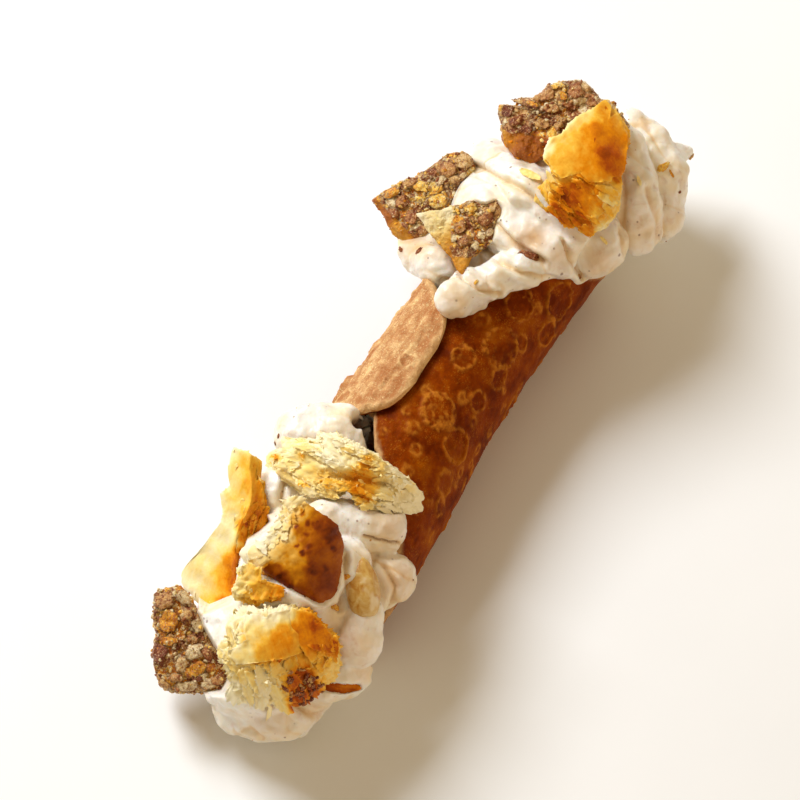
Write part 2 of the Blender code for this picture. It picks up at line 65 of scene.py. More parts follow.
ACROSS = Vector((math.cos(VIEW_TURN), math.sin(VIEW_TURN), 0.0))
TOWARD = Vector((
    math.sin(VIEW_TURN) * math.cos(VIEW_RISE),
    -math.cos(VIEW_TURN) * math.cos(VIEW_RISE),
    math.sin(VIEW_RISE),
))
UPWARD = TOWARD.cross(ACROSS)
MIDDLE = Vector((0.0, 0.0, 14.0))


def seen(across, upward, toward):
    """A direction or offset as the camera sees it: to its right, up its picture and towards it."""
    return ACROSS * across + UPWARD * upward + TOWARD * toward


def srgb(red, green, blue):
    """A colour as picked on a screen, 0 to 255, made linear."""
    return tuple((c / 12.92 if c <= 0.04045 else ((c + 0.055) / 1.055) ** 2.4)
                 for c in (red / 255, green / 255, blue / 255))


def soft_light(name, direction, size, watts, colour):
    """A square soft light that faces the food."""
    lamp = bpy.data.lights.new(name, "AREA")
    lamp.size = size
    lamp.energy = watts
    lamp.color = colour
    holder = bpy.data.objects.new(name, lamp)
    bpy.context.scene.collection.objects.link(holder)
    holder.location = MIDDLE * MM + direction.normalized() * LAMP_DISTANCE
    holder.rotation_euler = (-direction).to_track_quat("-Z", "Y").to_euler()


camera = bpy.data.objects.new("camera", bpy.data.cameras.new("camera"))
bpy.context.scene.collection.objects.link(camera)
camera.data.lens = LENS
camera.data.sensor_width = SENSOR
camera.data.clip_start = 0.05
camera.data.clip_end = 20.0
distance = PHOTO_WIDTH / SENSOR * LENS / PHOTO_SCALE
looked_at = MIDDLE + seen(LOOK_AT_ACROSS, LOOK_AT_UPWARD, distance)
camera.matrix_world = Matrix((
    (ACROSS.x, UPWARD.x, TOWARD.x, looked_at.x * MM),
    (ACROSS.y, UPWARD.y, TOWARD.y, looked_at.y * MM),
    (ACROSS.z, UPWARD.z, TOWARD.z, looked_at.z * MM),
    (0, 0, 0, 1),
))
bpy.context.scene.camera = camera
bpy.context.scene.view_settings.view_transform = "Standard"

soft_light("window", seen(-0.50, 0.74, 0.40), 0.42, 8.9, WINDOW_COLOUR)
soft_light("answer", seen(0.7, -0.35, 0.5), 0.8, 1.7, ANSWER_COLOUR)
world = bpy.data.worlds.new("room")
bpy.context.scene.world = world
world.use_nodes = True
background = world.node_tree.nodes["Background"]
background.inputs["Color"].default_value = ROOM_COLOUR
background.inputs["Strength"].default_value = ROOM_STRENGTH


class Field:
    """One socket of a shader. Arithmetic on it adds Math nodes, and node() adds any other kind."""

    def __init__(self, tree, socket=None):
        self.tree = tree
        self.socket = socket

    def node(self, kind, settings=None, values=None, out=0):
        """Adds a node, sets its settings and its sockets' values or links, and gives one output."""
        made = self.tree.nodes.new(kind)
        for key, value in (settings or {}).items():
            if key == "stops":
                ramp = made.color_ramp
                while len(ramp.elements) < len(value):
                    ramp.elements.new(0.5)
                for element, (position, colour) in zip(ramp.elements, value):
                    element.position = position
                    element.color = (*colour, 1.0)
            else:
                setattr(made, key, value)
        for key, value in (values or {}).items():
            socket = made.inputs[key]
            if isinstance(value, Field):
                self.tree.links.new(value.socket, socket)
            elif isinstance(value, tuple) and len(value) == 3 and len(socket.default_value) == 4:
                socket.default_value = (*value, 1.0)
            else:
                socket.default_value = value
        return Field(self.tree, made.outputs[out] if len(made.outputs) else None)

    def math(self, operation, *values):
        return self.node("ShaderNodeMath", {"operation": operation}, dict(enumerate(values)))

    def mix(self, factor, first, second):
        """A colour between two, at the factor."""
        return self.node("ShaderNodeMix", {"data_type": "RGBA"}, {0: factor, 6: first, 7: second}, 2)

    def rise(self, low, high):
        """0 below low, 1 above high and smooth between."""
        return self.node("ShaderNodeMapRange", {"interpolation_type": "SMOOTHSTEP"},
                         {"Value": self, "From Min": low, "From Max": high})

    def __add__(self, other):
        return self.math("ADD", self, other)

    def __sub__(self, other):
        return self.math("SUBTRACT", self, other)

    def __rsub__(self, other):
        return self.math("SUBTRACT", other, self)

    def __mul__(self, other):
        return self.math("MULTIPLY", self, other)

    __radd__ = __add__
    __rmul__ = __mul__


class Finish:
    """A material in the making: where the surface is, its painted layers, and its shader."""

    def __init__(self, name):
        self.material = bpy.data.materials.new(name)
        self.material.use_nodes = True
        self.material.node_tree.nodes.clear()
        self.field = Field(self.material.node_tree)
        self.place = self.field.node("ShaderNodeTexCoord", out="Object")

    def painted(self, layer):
        """A number that the mesh carries at each of its points."""
        return self.field.node("ShaderNodeAttribute", {"attribute_name": layer}, out="Fac")

    def grain(self, size, detail=3.0, roughness=0.55, distortion=0.0):
        """Cloudy noise whose features are about that many millimetres wide, from 0 to 1."""
        return self.field.node("ShaderNodeTexNoise", {}, {
            "Vector": self.place, "Scale": 1.0 / (size * MM), "Detail": detail,
            "Roughness": roughness, "Distortion": distortion})

    def cells(self, size):
        """Distance to the nearest of scattered points that are about that many millimetres apart."""
        return self.field.node("ShaderNodeTexVoronoi", {"feature": "F1"}, {
            "Vector": self.place, "Scale": 1.0 / (size * MM)})

    def ramp(self, value, stops):
        return self.field.node("ShaderNodeValToRGB", {"stops": stops}, {0: value})

    def shader(self, colour, relief, depth, **values):
        """Ends the material: a Principled shader with relief of that many millimetres."""
        bump = self.field.node("ShaderNodeBump", {}, {
            "Height": relief, "Distance": depth * MM, "Strength": 1.0})
        sockets = {"Base Color": colour, "Normal": bump}
        sockets.update({key.replace("_", " "): value for key, value in values.items()})
        surface = self.field.node("ShaderNodeBsdfPrincipled", {}, sockets)
        self.field.node("ShaderNodeOutputMaterial", {}, {"Surface": surface})
        return self.material


def table_finish():
    """Smooth matt white laminate."""
    finish = Finish("table_white")
    cloud = finish.grain(40.0)
    colour = finish.ramp(cloud, [(0.3, (0.90, 0.93, 0.96)), (0.7, (0.92, 0.95, 0.98))])
    return finish.shader(colour, cloud, 0.02, Roughness=0.55)


TABLE_HALF = 1.5
TABLE_DROP = 0.0002
table = bpy.data.meshes.new("table")
table.from_pydata([(-TABLE_HALF, -TABLE_HALF, 0), (TABLE_HALF, -TABLE_HALF, 0),
                   (TABLE_HALF, TABLE_HALF, 0), (-TABLE_HALF, TABLE_HALF, 0)], [], [(0, 1, 2, 3)])
table.materials.append(table_finish())
floor = bpy.data.objects.new("table", table)
floor.location.z = -TABLE_DROP
bpy.context.scene.collection.objects.link(floor)


def paint(mesh, layers):
    """Stores one number a point on a mesh, for its material and for what is strewn on it."""
    for layer, numbers in layers.items():
        made = mesh.attributes.new(layer, "FLOAT", "POINT")
        made.data.foreach_set("value", np.asarray(numbers, dtype=np.float32))


def piece_of(name, points, faces, material, layers=None):
    """An object from points in millimetres, with painted layers of one number a point."""
    mesh = bpy.data.meshes.new(name)
    flat = np.asarray(points, dtype=float) * MM
    mesh.from_pydata(flat.tolist(), [], faces)
    paint(mesh, layers or {})
    mesh.materials.append(material)
    mesh.update()
    mesh.shade_smooth()
    obj = bpy.data.objects.new(name, mesh)
    bpy.context.scene.collection.objects.link(obj)
    return obj


def evaluated(obj):
    """Bakes an object's modifiers into a plain mesh."""
    graph = bpy.context.evaluated_depsgraph_get()
    graph.update()
    made = bpy.data.meshes.new_from_object(obj.evaluated_get(graph))
    obj.modifiers.clear()
    old = obj.data
    obj.data = made
    bpy.data.meshes.remove(old)
    return obj


def hand_over(obj, node):
    """Hides the solid that a finished piece stands for, and makes the piece ride on the food."""
    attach(obj, "root")
    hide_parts(node)
    return obj


def points_of(mesh):
    """A mesh's points in millimetres, one row each."""
    flat = np.empty(len(mesh.vertices) * 3)
    mesh.vertices.foreach_get("co", flat)
    return flat.reshape(-1, 3) / MM


def move_points(mesh, where):
    """Puts a mesh's points at these places in millimetres."""
    mesh.vertices.foreach_set("co", (where * MM).ravel())
    mesh.update()


def smooth_step(low, high, value):
    """0 below low, 1 above high, and a smooth rise between."""
    share = np.clip((np.asarray(value, float) - low) / (high - low), 0.0, 1.0)
    return share * share * (3.0 - 2.0 * share)


def cloud(points, size, octaves=3, seed=0.0):
    """Smooth noise from about -1 to 1 at each point, with features of that many millimetres."""
    offset = Vector((seed * 7.13, seed * 3.71, seed * 5.19))
    return np.array([noise.fractal(Vector(p) / size + offset, 0.9, 2.1, octaves) for p in points])


def billowed(points, size, seed):
    """Crumpling with sharp creases and rounded swells between them, from 0 up."""
    return np.abs(cloud(points, size, 2, seed))


# The shell is one sheet of dough, rolled round a tube with its flap stuck over its other end, then fried.
# It is blistered all over, darker where it browned, and its cut edges swelled and went frilly.
SHELL_RADIUS = 14.0
SHELL_WALL = 1.8
AXIS_HEIGHT = 13.7
FLAP_STEP = 1.4
FLAP_FADE = 40.0
UNDER_DIP = 0.5
FLAP_ANGLE = 90.0
SHEET_TURN = 404.0
TONGUE_TURN = 22.0
TONGUE_LENGTH = 13.0
LOW_MOUTH = [(22, 13.0), (32, 14.5), (74, 12.0), (120, 27.0), (160, 41.0), (202, 46.0),
             (254, 42.5), (300, 34.0), (344, 24.5), (367, 18.5), (382, 13.0)]
HIGH_MOUTH = [(22, 13.0), (32, 15.5), (74, 24.0), (120, 34.0), (160, 42.0), (202, 45.0),
              (254, 43.0), (306, 33.5), (344, 25.0), (367, 18.5), (382, 13.0)]
NARROWING = [(-45, 0.0), (-27, 0.0), (-13, 0.4), (0, 1.0), (16, 1.6), (28, 1.3), (45, 0.4)]
SIDE_SHIFT = [(-45, 0.0), (-27, 0.0), (-13, 0.4), (0, 1.0), (16, 0.5), (28, 0.3), (45, 0.0)]
# Blisters: degrees round the sheet, mm along it, mm across, and whether their middle is pale or dark
BLISTERS = [(326, 21, 6.2, -1), (296, 28, 7.3, -1), (318, 12, 8.0, 0.4), (304, 16, 3.4, -1),
            (340, 5.5, 4.8, 0.5), (304, 7.5, 4.0, -1), (309, 1, 4.0, -1), (335, -6.5, 7.2, 1),
            (307, -9, 6.4, -0.8), (299, -16, 4.8, 0.3), (285, 22, 5.2, -1), (346, -12, 2.8, 0.5),
            (335, -15.5, 2.0, -0.5), (333, -20, 2.2, 0.4), (290, -20, 3.4, 0.5), (262, 8, 5.0, -1),
            (15, -1, 3.6, -1.4), (322, -1, 2.2, 0.6), (352, -4, 2.0, 0.4), (345, 14, 3.0, 0.6)]
# More of them are scattered between these and behind: how many, mm across, how close, and their middles
HIDDEN_BLISTERS = 70
BLISTER_SEED = 11
SMALL_BLISTER = (0.9, 2.0)
LARGE_BLISTER = (1.5, 7.0)
BLISTER_SPACING = 0.56
BLISTER_TONES = [-1, -0.6, 0.4, 1]
MOUTH_MARGIN = 2.0
BLISTER_HEIGHT = 0.45
SHELL_COLUMNS = 320
SHELL_ROWS = 280
INNER_STEP = 4
INNER_FLOOR = 0.9
LIP = 1.1
EDGE_WAVE = 0.45
# Between these angles the sheet faces away from the front, and its columns are wider apart
BACK_FROM = 84
BACK_TO = 250
BACK_DENSITY = 0.8
SHOWN_DENSITY = 1.55
SHOWN_FROM = 255

# Frills: blisters that stand out at the flap's far side, as degrees, mm along, mm across, and mm high
FRILLS = [(77, -5.6, 4.6, 1.5), (73, -9.2, 3.0, 1.1), (80, -1.2, 3.2, 0.8), (70, 3.2, 3.6, 0.5)]
# Ridges along the flap: degrees round the sheet, and mm wide
RIDGES = [(33, 1.5), (48, 1.2), (61, 1.4), (21, 1.1)]

DOUGH_DARK = srgb(102, 34, 0)
DOUGH = srgb(136, 56, 0)
DOUGH_LIGHT = srgb(162, 84, 0)
DOUGH_RING = srgb(198, 124, 38)
FLAP_SHADE = srgb(174, 112, 66)
FLAP_TAN = srgb(204, 152, 102)
FLAP_GOLD = srgb(240, 204, 146)
FLAP_GLINT = srgb(252, 226, 168)


def half_length(mouth, turn):
    """How far the sheet reaches from its middle towards one mouth, at an angle round the roll."""
    from_tip = np.minimum(turn, SHEET_TURN - turn)
    share = np.clip(1.0 - from_tip / TONGUE_TURN, 0.0, 1.0)
    tongue = TONGUE_LENGTH * np.sqrt(np.clip(1.0 - share * share, 0.0, 1.0))
    angles, lengths = zip(*mouth)
    return np.where(from_tip < TONGUE_TURN, tongue, np.interp(turn, angles, lengths))


def all_blisters():
    """The blisters that show, and smaller ones of the same kind scattered between them and behind."""
    draw = random.Random(BLISTER_SEED)
    made = list(BLISTERS)
    while len(made) < len(BLISTERS) + HIDDEN_BLISTERS:
        turn, along = draw.uniform(48, 400), draw.uniform(-42, 42)
        across = draw.uniform(*(SMALL_BLISTER if turn > SHOWN_FROM else LARGE_BLISTER))
        reach = float(half_length(HIGH_MOUTH if along > 0 else LOW_MOUTH, np.array(float(turn))))
        apart = all(math.hypot(math.radians(turn - t) * SHELL_RADIUS, along - x)
                    > BLISTER_SPACING * (across + d) for t, x, d, tone in made)
        if abs(along) < reach - MOUTH_MARGIN and apart:
            made.append((turn, along, across, draw.choice(BLISTER_TONES)))
    return made


def roll_point(turn, along, radius, lowest=0.0):
    """A point of the roll in millimetres, with the strip that it rests on kept flat."""
    angle = np.radians(FLAP_ANGLE - turn)
    narrowing = np.interp(along, *zip(*NARROWING))
    y = np.interp(along, *zip(*SIDE_SHIFT)) + (radius - narrowing) * np.cos(angle)
    z = np.maximum(AXIS_HEIGHT + radius * np.sin(angle), lowest)
    return np.stack([along, y, z], axis=-1)


def sheet_radius(turn):
    """The outer radius of the rolled sheet: the flap lies on top, and the other end dips under it."""
    return (SHELL_RADIUS + FLAP_STEP * (1 - smooth_step(FLAP_FADE, 110, turn))
            - UNDER_DIP * smooth_step(325, 360, turn) * (turn > 300))


def even_columns():
    """Angles of the sheet's columns, closer together where the shell shows from the front."""
    known = np.linspace(1.2, SHEET_TURN - 1.2, 800)
    dense = np.where((known < BACK_FROM) | (known > BACK_TO), SHOWN_DENSITY, BACK_DENSITY)
    total = np.concatenate([[0], np.cumsum((dense[1:] + dense[:-1]) / 2)])
    return np.interp(np.linspace(0, total[-1], SHELL_COLUMNS + 1), total, known)


def shell_surface():
    """Points of the rolled sheet's outer and inner face, and what is painted on them."""
    columns = even_columns()
    inset = 0.5 * (1 - np.cos(np.linspace(0, math.pi, SHELL_ROWS + 1)))
    rows = 0.86 * np.linspace(0, 1, SHELL_ROWS + 1) + 0.14 * inset
    turn, share = np.meshgrid(columns, rows)
    low, high = half_length(LOW_MOUTH, turn), half_length(HIGH_MOUTH, turn)
    # The cut edges wander a little, and the sheet's thickness rounds off towards all of them
    frill = np.array([noise.noise(Vector((t * 0.09, 3.1, 0)))
                      + 0.6 * noise.noise(Vector((t * 0.3, 9.7, 0))) for t in columns])
    low, high = low + EDGE_WAVE * frill, high + EDGE_WAVE * frill[::-1]
    along = -low + (low + high) * share
    to_side = np.minimum(low + along, high - along)
    to_end = np.minimum(turn - columns[0], columns[-1] - turn) * math.radians(1) * SHELL_RADIUS
    to_edge = np.minimum(to_side, to_end)
    lip = np.sqrt(np.clip(1 - (1 - np.clip(to_edge / LIP, 0, 1)) ** 2, 0, 1))
    on_flap = 1 - smooth_step(60, 100, turn)

    spread = np.stack([along, np.radians(turn) * SHELL_RADIUS, np.zeros_like(turn)], -1).reshape(-1, 3)
    shape = turn.shape
    drift_a = 0.48 * cloud(spread, 1.9, 2, seed=11.0).reshape(shape)
    drift_b = 0.48 * cloud(spread, 1.9, 2, seed=12.0).reshape(shape)
    broken = cloud(spread, 0.9, 2, seed=13.0).reshape(shape)
    lumps = cloud(spread, 3.4, 2, seed=14.0).reshape(shape)
    fine = cloud(spread, 0.8, 2, seed=15.0).reshape(shape)
    long_noise = cloud(spread * np.array([0.22, 1.0, 1.0]), 1.6, 3, seed=16.0).reshape(shape)

    # A blister is a raised pale ring, out of round, with a middle that is pale or dark
    height, pale, streak = np.zeros_like(along), np.zeros_like(along), np.zeros_like(along)
    for t, x, across, tone in all_blisters():
        away = np.radians(turn - t) * SHELL_RADIUS + drift_a * min(1.0, across / 3)
        off = along - x + drift_b * min(1.0, across / 3)
        near = (np.abs(away) < across) & (np.abs(off) < across)
        outside = np.hypot(away[near], off[near]) - across / 2
        ring = np.exp(-((outside + 0.12) / 0.42) ** 2) * np.clip(0.75 + 1.5 * broken[near], 0.12, 1.2)
        halo = np.exp(-((outside + 0.1) / 0.8) ** 2)
        inside = smooth_step(0.15, 0.65, -outside)
        grow = min(max(across / 6.0, 0.3), 1.1) * BLISTER_HEIGHT
        height[near] += grow * (0.75 * ring + inside * (0.15 + 0.5 * max(tone, -0.3)))
        pale[near] += 0.60 * ring + 0.20 * halo + inside * tone * (0.28 + 0.9 * broken[near])
    for t, x, across, rise in FRILLS:
        away, off = np.radians(turn - t) * SHELL_RADIUS + drift_a, along - x + drift_b
        height += rise * (1 - smooth_step(0.3, 0.62, np.hypot(away, off) / across)) * (turn < 120)
    for t, wide in RIDGES:
        across = np.radians(turn - t) * SHELL_RADIUS + 1.6 * long_noise + 0.03 * along
        height += 0.34 * np.exp(-(across / wide) ** 2) * on_flap
        streak += np.exp(-((across - wide) / 0.6) ** 2) * on_flap
    # Painted shade: a band about 2 mm in from the flap's edge is marked to be drawn darker brown, where the
    # edge turns from the light
    streak += 0.9 * np.exp(-((to_edge - 2.2 - 0.8 * lumps) / 1.5) ** 2) * (turn < 60)

    swell = np.exp(-((to_edge - 1.0) / 0.8) ** 2)
    height += (0.18 * lumps + (0.05 + 0.04 * on_flap) * fine
               + 0.34 * swell * (0.5 + 0.7 * lumps + 0.3 * broken))
    height += 0.14 * long_noise * on_flap
    radius = sheet_radius(turn) + height * lip - SHELL_WALL * 0.5 * (1 - lip)
    outer = roll_point(turn, along, radius)
    inner_radius = sheet_radius(turn) - SHELL_WALL + 0.2 * lumps + SHELL_WALL * 0.5 * (1 - lip)
    inner = roll_point(turn, along, inner_radius, INNER_FLOOR)

    points = np.concatenate([outer.reshape(-1, 3), inner[::INNER_STEP, ::INNER_STEP].reshape(-1, 3)])
    bare = np.zeros(len(points) - turn.size)
    rim = 1 - smooth_step(0.3, 2.2, to_edge + 0.5 * broken)
    painted = {"pale": pale, "flap": on_flap, "streak": streak, "rim": rim}
    return points, {name: np.concatenate([layer.ravel(), bare]) for name, layer in painted.items()}


def shell_faces():
    """Faces of the outer grid and the coarser inner one, and of the strips that join their edges."""
    wide = SHELL_COLUMNS + 1
    faces = []
    for r in range(SHELL_ROWS):
        for c in range(SHELL_COLUMNS):
            a = r * wide + c
            faces.append((a, a + 1, a + wide + 1, a + wide))
    first_inner = wide * (SHELL_ROWS + 1)
    n_rows, n_columns = SHELL_ROWS // INNER_STEP, SHELL_COLUMNS // INNER_STEP
    thin = n_columns + 1
    for r in range(n_rows):
        for c in range(n_columns):
            a = first_inner + r * thin + c
            faces.append((a, a + thin, a + thin + 1, a + 1))
    for c in range(n_columns):
        fine_low = [c * INNER_STEP + i for i in range(INNER_STEP + 1)]
        fine_high = [SHELL_ROWS * wide + i for i in fine_low]
        start, end = first_inner + c, first_inner + n_rows * thin + c
        faces.append([start, start + 1] + fine_low[::-1])
        faces.append([end + 1, end] + fine_high)
    for r in range(n_rows):
        fine_left = [(r * INNER_STEP + i) * wide for i in range(INNER_STEP + 1)]
        fine_right = [i + SHELL_COLUMNS for i in fine_left]
        start, end = first_inner + r * thin, first_inner + r * thin + n_columns
        faces.append([start + thin, start] + fine_left)
        faces.append([end, end + thin] + fine_right[::-1])
    return faces


def fried_dough():
    """Brown fried dough: mottled and oily on the roll, sandy and paler on the flap and the cut edges, with
    painted shade in a band along the flap's edge.
    """
    finish = Finish("fried_dough")
    mix = finish.field.mix
    pale, flap, rim = finish.painted("pale"), finish.painted("flap"), finish.painted("rim")
    mottle = finish.grain(6.0, 4.0)
    cloudy = finish.grain(1.6, 3.0, 0.6)
    sand = finish.grain(0.45, 3.0, 0.65)
    patch = finish.grain(3.0, 2.0)
    spark = sand.rise(0.60, 0.72)
    glint = finish.grain(0.32, 2.0, 0.7).rise(0.55, 0.64)
    base = finish.ramp(mottle * 0.8 + cloudy * 0.35 - 0.08,
                       [(0.36, DOUGH_DARK), (0.52, DOUGH), (0.70, DOUGH_LIGHT)])
    base = mix(pale.rise(0.0, 1.0) * (0.15 + sand * 1.1), base, DOUGH_RING)
    base = mix((pale * -1).rise(0.05, 0.8) * (0.2 + cloudy * 0.8), base, DOUGH_DARK)
    base = mix(spark * (patch.rise(0.48, 0.62) * 0.5 + pale.rise(0.1, 0.9) * 0.4), base, DOUGH_RING)
    base = mix(glint * patch.rise(0.44, 0.60) * 0.45, base, DOUGH_RING)
    sandy = finish.ramp(patch * 0.45 + cloudy * 0.35 + sand * 0.25,
                        [(0.40, FLAP_SHADE), (0.54, FLAP_TAN), (0.70, FLAP_GOLD)])
    # Brown streaks beside the flap's ridges, and painted shade in a band along its edge, pull the flap
    # towards its darker tan
    sandy = mix(finish.painted("streak").rise(0.1, 1.0) * (0.3 + cloudy * 0.6), sandy, FLAP_SHADE)
    sandy = mix(spark * (0.55 + rim * 0.45), sandy, FLAP_GLINT)
    sandy = mix(glint * (0.25 + patch.rise(0.42, 0.60) * 0.6), sandy, FLAP_GLINT)
    sandy = mix(pale.rise(0.1, 0.9) * 0.8, sandy, FLAP_GOLD)
    sandy = mix((pale * -1).rise(0.05, 0.6) * 0.6, sandy, FLAP_SHADE)
    base = mix(flap.rise(0.05, 0.6), base, sandy)
    base = mix(rim * (0.15 + sand * 0.75), base, FLAP_GOLD)
    relief = sand * (0.45 + flap * 0.6) + cloudy * 0.5 + glint * 0.3
    gloss = 0.40 + flap * 0.22 + sand * 0.14
    return finish.shader(base, relief, 0.16, Roughness=gloss, Specular_IOR_Level=0.03,
                         Subsurface_Weight=0.05, Subsurface_Radius=(1.0, 0.4, 0.1), Subsurface_Scale=0.001)


shell_points, shell_layers = shell_surface()
shell = piece_of("shell_sheet", shell_points, shell_faces(), fried_dough(), shell_layers)
hand_over(shell, "shell")


# The filling is sweet ricotta whipped with cream, piped in from both ends so that it swells over the rims.
# It is smooth and moist with soft folds, and carries nut dust, brown specks and a few bits of nut.
CORE_RADIUS = 10.0
CORE_DROP = 0.9
CORE_HALF_LENGTH = 34.0
BODY_RADIUS = 15.0
HIGH_BODY = ((43.0, 1.5, 16.0), (24.0, 15.0, 15.5))
HIGH_END = ((56.0, -5.0, 14.5), (12.0, 11.0, 12.5))
LOW_BODY = ((-49.5, 1.5, 15.5), (24.5, 15.5, 15.5))
HIGH_STROKES = [
    [(37, 15.5, 23, 4.8), (33, 6.5, 30.0, 5.0), (31, -5.5, 29.0, 4.6)],
    [(45.5, 13, 23, 5.0), (39, 1.5, 31.5, 5.5), (36.5, -7.0, 28.8, 5.0)],
    [(52, 3, 29, 6.0), (58, -4, 27.0, 5.5)],
    [(22, 11.0, 23.5, 3.8), (25.4, 16.6, 18.5, 4.2), (33, 16.5, 17.0, 5.0)],
    [(13.2, 3.0, 30.6, 3.5), (17, 2.0, 29.0, 4.2)],
    [(20.5, -0.3, 28.8, 3.5), (26.6, -3.9, 28.7, 3.8), (32.5, -8.2, 26.8, 3.8)],
    [(41.0, -11.2, 21.4, 6.2), (43.0, -8.0, 17.0, 5.0)],
    [(58, -7.4, 25.5, 5.0), (53.2, -12.2, 22.5, 5.2), (49.6, -15.2, 17.2, 4.8)],
    [(66.2, -5.4, 20, 3.9), (65, -9.5, 19, 4.6), (62.5, -13.2, 17.5, 5.0), (55.8, -16.3, 14.5, 5.0)],
    [(66.5, -13.3, 16.8, 3.0), (69.0, -14.8, 15.6, 1.5)],
]
LOW_STROKES = [
    [(-21.9, 14.0, 23.8, 6.2), (-18.9, 8.9, 23.9, 6.2), (-25.5, 10.0, 22.0, 6.0)],
    [(-34.5, 13.2, 22.5, 5.4), (-38, 16.5, 17.0, 5.2), (-46, 14.5, 20.0, 5.2)],
    [(-38, 0.5, 29.0, 4.8), (-32.8, -8.0, 25.8, 4.6)],
    [(-38.2, -12.4, 20.0, 4.9), (-42.0, -9.0, 17.0, 4.6)],
    [(-43.5, -6.0, 28.0, 5.0), (-52, -3.0, 28.5, 5.2), (-57, 3, 27, 5.0)],
    [(-52.9, -13.4, 20.3, 5.0), (-48.5, -12.5, 23.0, 3.8)],
    [(-56.1, -13.2, 14.0, 5.0), (-60, -10.5, 15.5, 4.8)],
    [(-67.6, 0.3, 8.8, 6.8), (-66, -5.5, 10.0, 6.9), (-61.5, -8.0, 10.4, 5.2)],
    [(-63, 8.4, 19.0, 5.2), (-64, 3.0, 24.0, 4.6)],
]
STROKE_STEP = 0.22
CREAM_VOXEL = 0.37
# A crease deeper than this many mm also shows where the cream turns away
DEEP_CREASE = 2.0
# Between the mouths, cream that comes closer than this to the shell's outside is pushed in, all in mm
SKIN_DEPTH = 1.6
SKIN_PUSH = 1.3
MOUTH_OVERLAP = 0.2
# A crease is (mm deep, mm wide, how brown, and its path as mm across and up from the middle as seen); its
# brown is a stain, except in the deep gap by the shell, where it is painted shade
CREASES = [
    (1.0, 0.5, 0.0, [(7.3, 44.6), (12.4, 41.9), (17.5, 39.0), (21.5, 35.5)]),
    (1.1, 0.5, 0.0, [(11.5, 33.3), (14.5, 31.0), (17.0, 28.4), (20.5, 26.6)]),
    (1.0, 0.5, 0.0, [(5.5, 28.5), (9.0, 29.5), (12.5, 26.5), (16.5, 24.4), (21.0, 23.6), (25.5, 22.8)]),
    (0.8, 0.4, 0.0, [(1.5, 23.2), (5.0, 24.0), (8.5, 21.5), (12.0, 20.8)]),
    (0.7, 0.8, 0.1, [(35.0, 43.5), (35.4, 38.0), (34.8, 32.0), (35.4, 28.5)]),
    (0.7, 0.8, 0.1, [(39.6, 40.0), (40.6, 36.5), (42.0, 33.0), (41.8, 30.0)]),
    (0.9, 0.5, 0.0, [(24.0, 30.5), (25.2, 27.0), (27.5, 24.2)]),
    (0.5, 0.28, 0.8, [(-12.4, -23.2), (-10.0, -24.0), (-7.0, -24.7), (-3.8, -25.8)]),
    # The deep gap beside the shell is painted dark brown: painted shade, with no stain there
    (4.6, 1.0, 2.2, [(-13.2, -2.6), (-11.6, -2.2), (-10.8, -5.5), (-10.0, -8.6)]),
    (1.0, 0.5, 0.1, [(-15.8, -27.0), (-15.4, -32.5), (-17.0, -36.5)]),
    (1.0, 0.5, 0.1, [(-8.8, -29.0), (-6.6, -33.0), (-7.6, -36.6), (-4.4, -35.6)]),
    (0.8, 0.5, 0.0, [(-26.5, -12.5), (-27.5, -17.0), (-25.8, -20.5)]),
    (1.0, 0.5, 0.1, [(-30.5, -54.0), (-27.0, -53.0), (-22.0, -55.6), (-16.0, -55.0)]),
]

# Spots of painted warm shade, where the cream lies in shade: mm across and up as seen, mm radius, and how
# much from 0 to 1
CREAM_SHADE_SPOTS = [(18.3, 30.7, 2.6, 1.0), (19.4, 31.0, 1.6, 0.8), (-3.0, 29.2, 2.8, 0.8),
               (30.7, 26.5, 3.2, 0.55), (38.3, 32.8, 4.2, 0.35), (44.0, 36.0, 3.6, 0.30),
               (3.8, 19.6, 3.2, 0.45), (-7.7, -21.8, 3.0, 0.55), (-6.5, -31.0, 3.4, 0.65),
               (-14.6, -42.2, 4.0, 0.4), (-29.6, -57.4, 4.0, 0.35), (22.8, 27.4, 2.4, 0.5),
               (-20.0, -55.5, 3.6, 0.4), (-12.0, -47.5, 3.0, 0.4), (9.0, 22.0, 2.0, 0.3),
               (28.0, 35.0, 2.0, 0.5), (-11.0, -27.5, 2.0, 0.35)]

CREAM_LIT = srgb(247, 245, 238)
CREAM_WARM = srgb(240, 224, 190)
CREAM_SHADE_AMBER = srgb(220, 176, 118)
CREAM_STAIN = srgb(206, 172, 146)
BROWN_FOR_SPECKS_AND_GAP_SHADE = srgb(112, 60, 30)


def taken_from(bm, place):
    """A bmesh's points, each put in its place, and its faces."""
    points = [place(vert.co) for vert in bm.verts]
    faces = [[vert.index for vert in face.verts] for face in bm.faces]
    bm.free()
    return points, faces


def ball(centre, radii, fineness=3):
    """Points and faces of an ellipsoid."""
    bm = bmesh.new()
    bmesh.ops.create_icosphere(bm, subdivisions=fineness, radius=1.0)
    return taken_from(bm, lambda co: tuple(c + v * r for c, v, r in zip(centre, co, radii)))


def stroke_balls(stroke):
    """Balls set close together along a stroke of the piping bag, which swells and thins a little."""
    made = []
    for start, end in zip(stroke, stroke[1:]):
        length = math.dist(start[:3], end[:3])
        steps = max(3, int(length / (STROKE_STEP * min(start[3], end[3]))))
        for i in range(steps + 1):
            x, y, z, r = (a + (b - a) * i / steps for a, b in zip(start, end))
            made.append(ball((x, y, z), (r, r, r), 3))
    return made


def core_of_cream():
    """The filling inside the shell, which lies a little low in it."""
    bm = bmesh.new()
    bmesh.ops.create_cone(bm, cap_ends=True, segments=64, radius1=CORE_RADIUS, radius2=CORE_RADIUS,
                          depth=2 * CORE_HALF_LENGTH)
    return taken_from(bm, lambda co: (co.z, co.y, AXIS_HEIGHT - CORE_DROP - co.x))


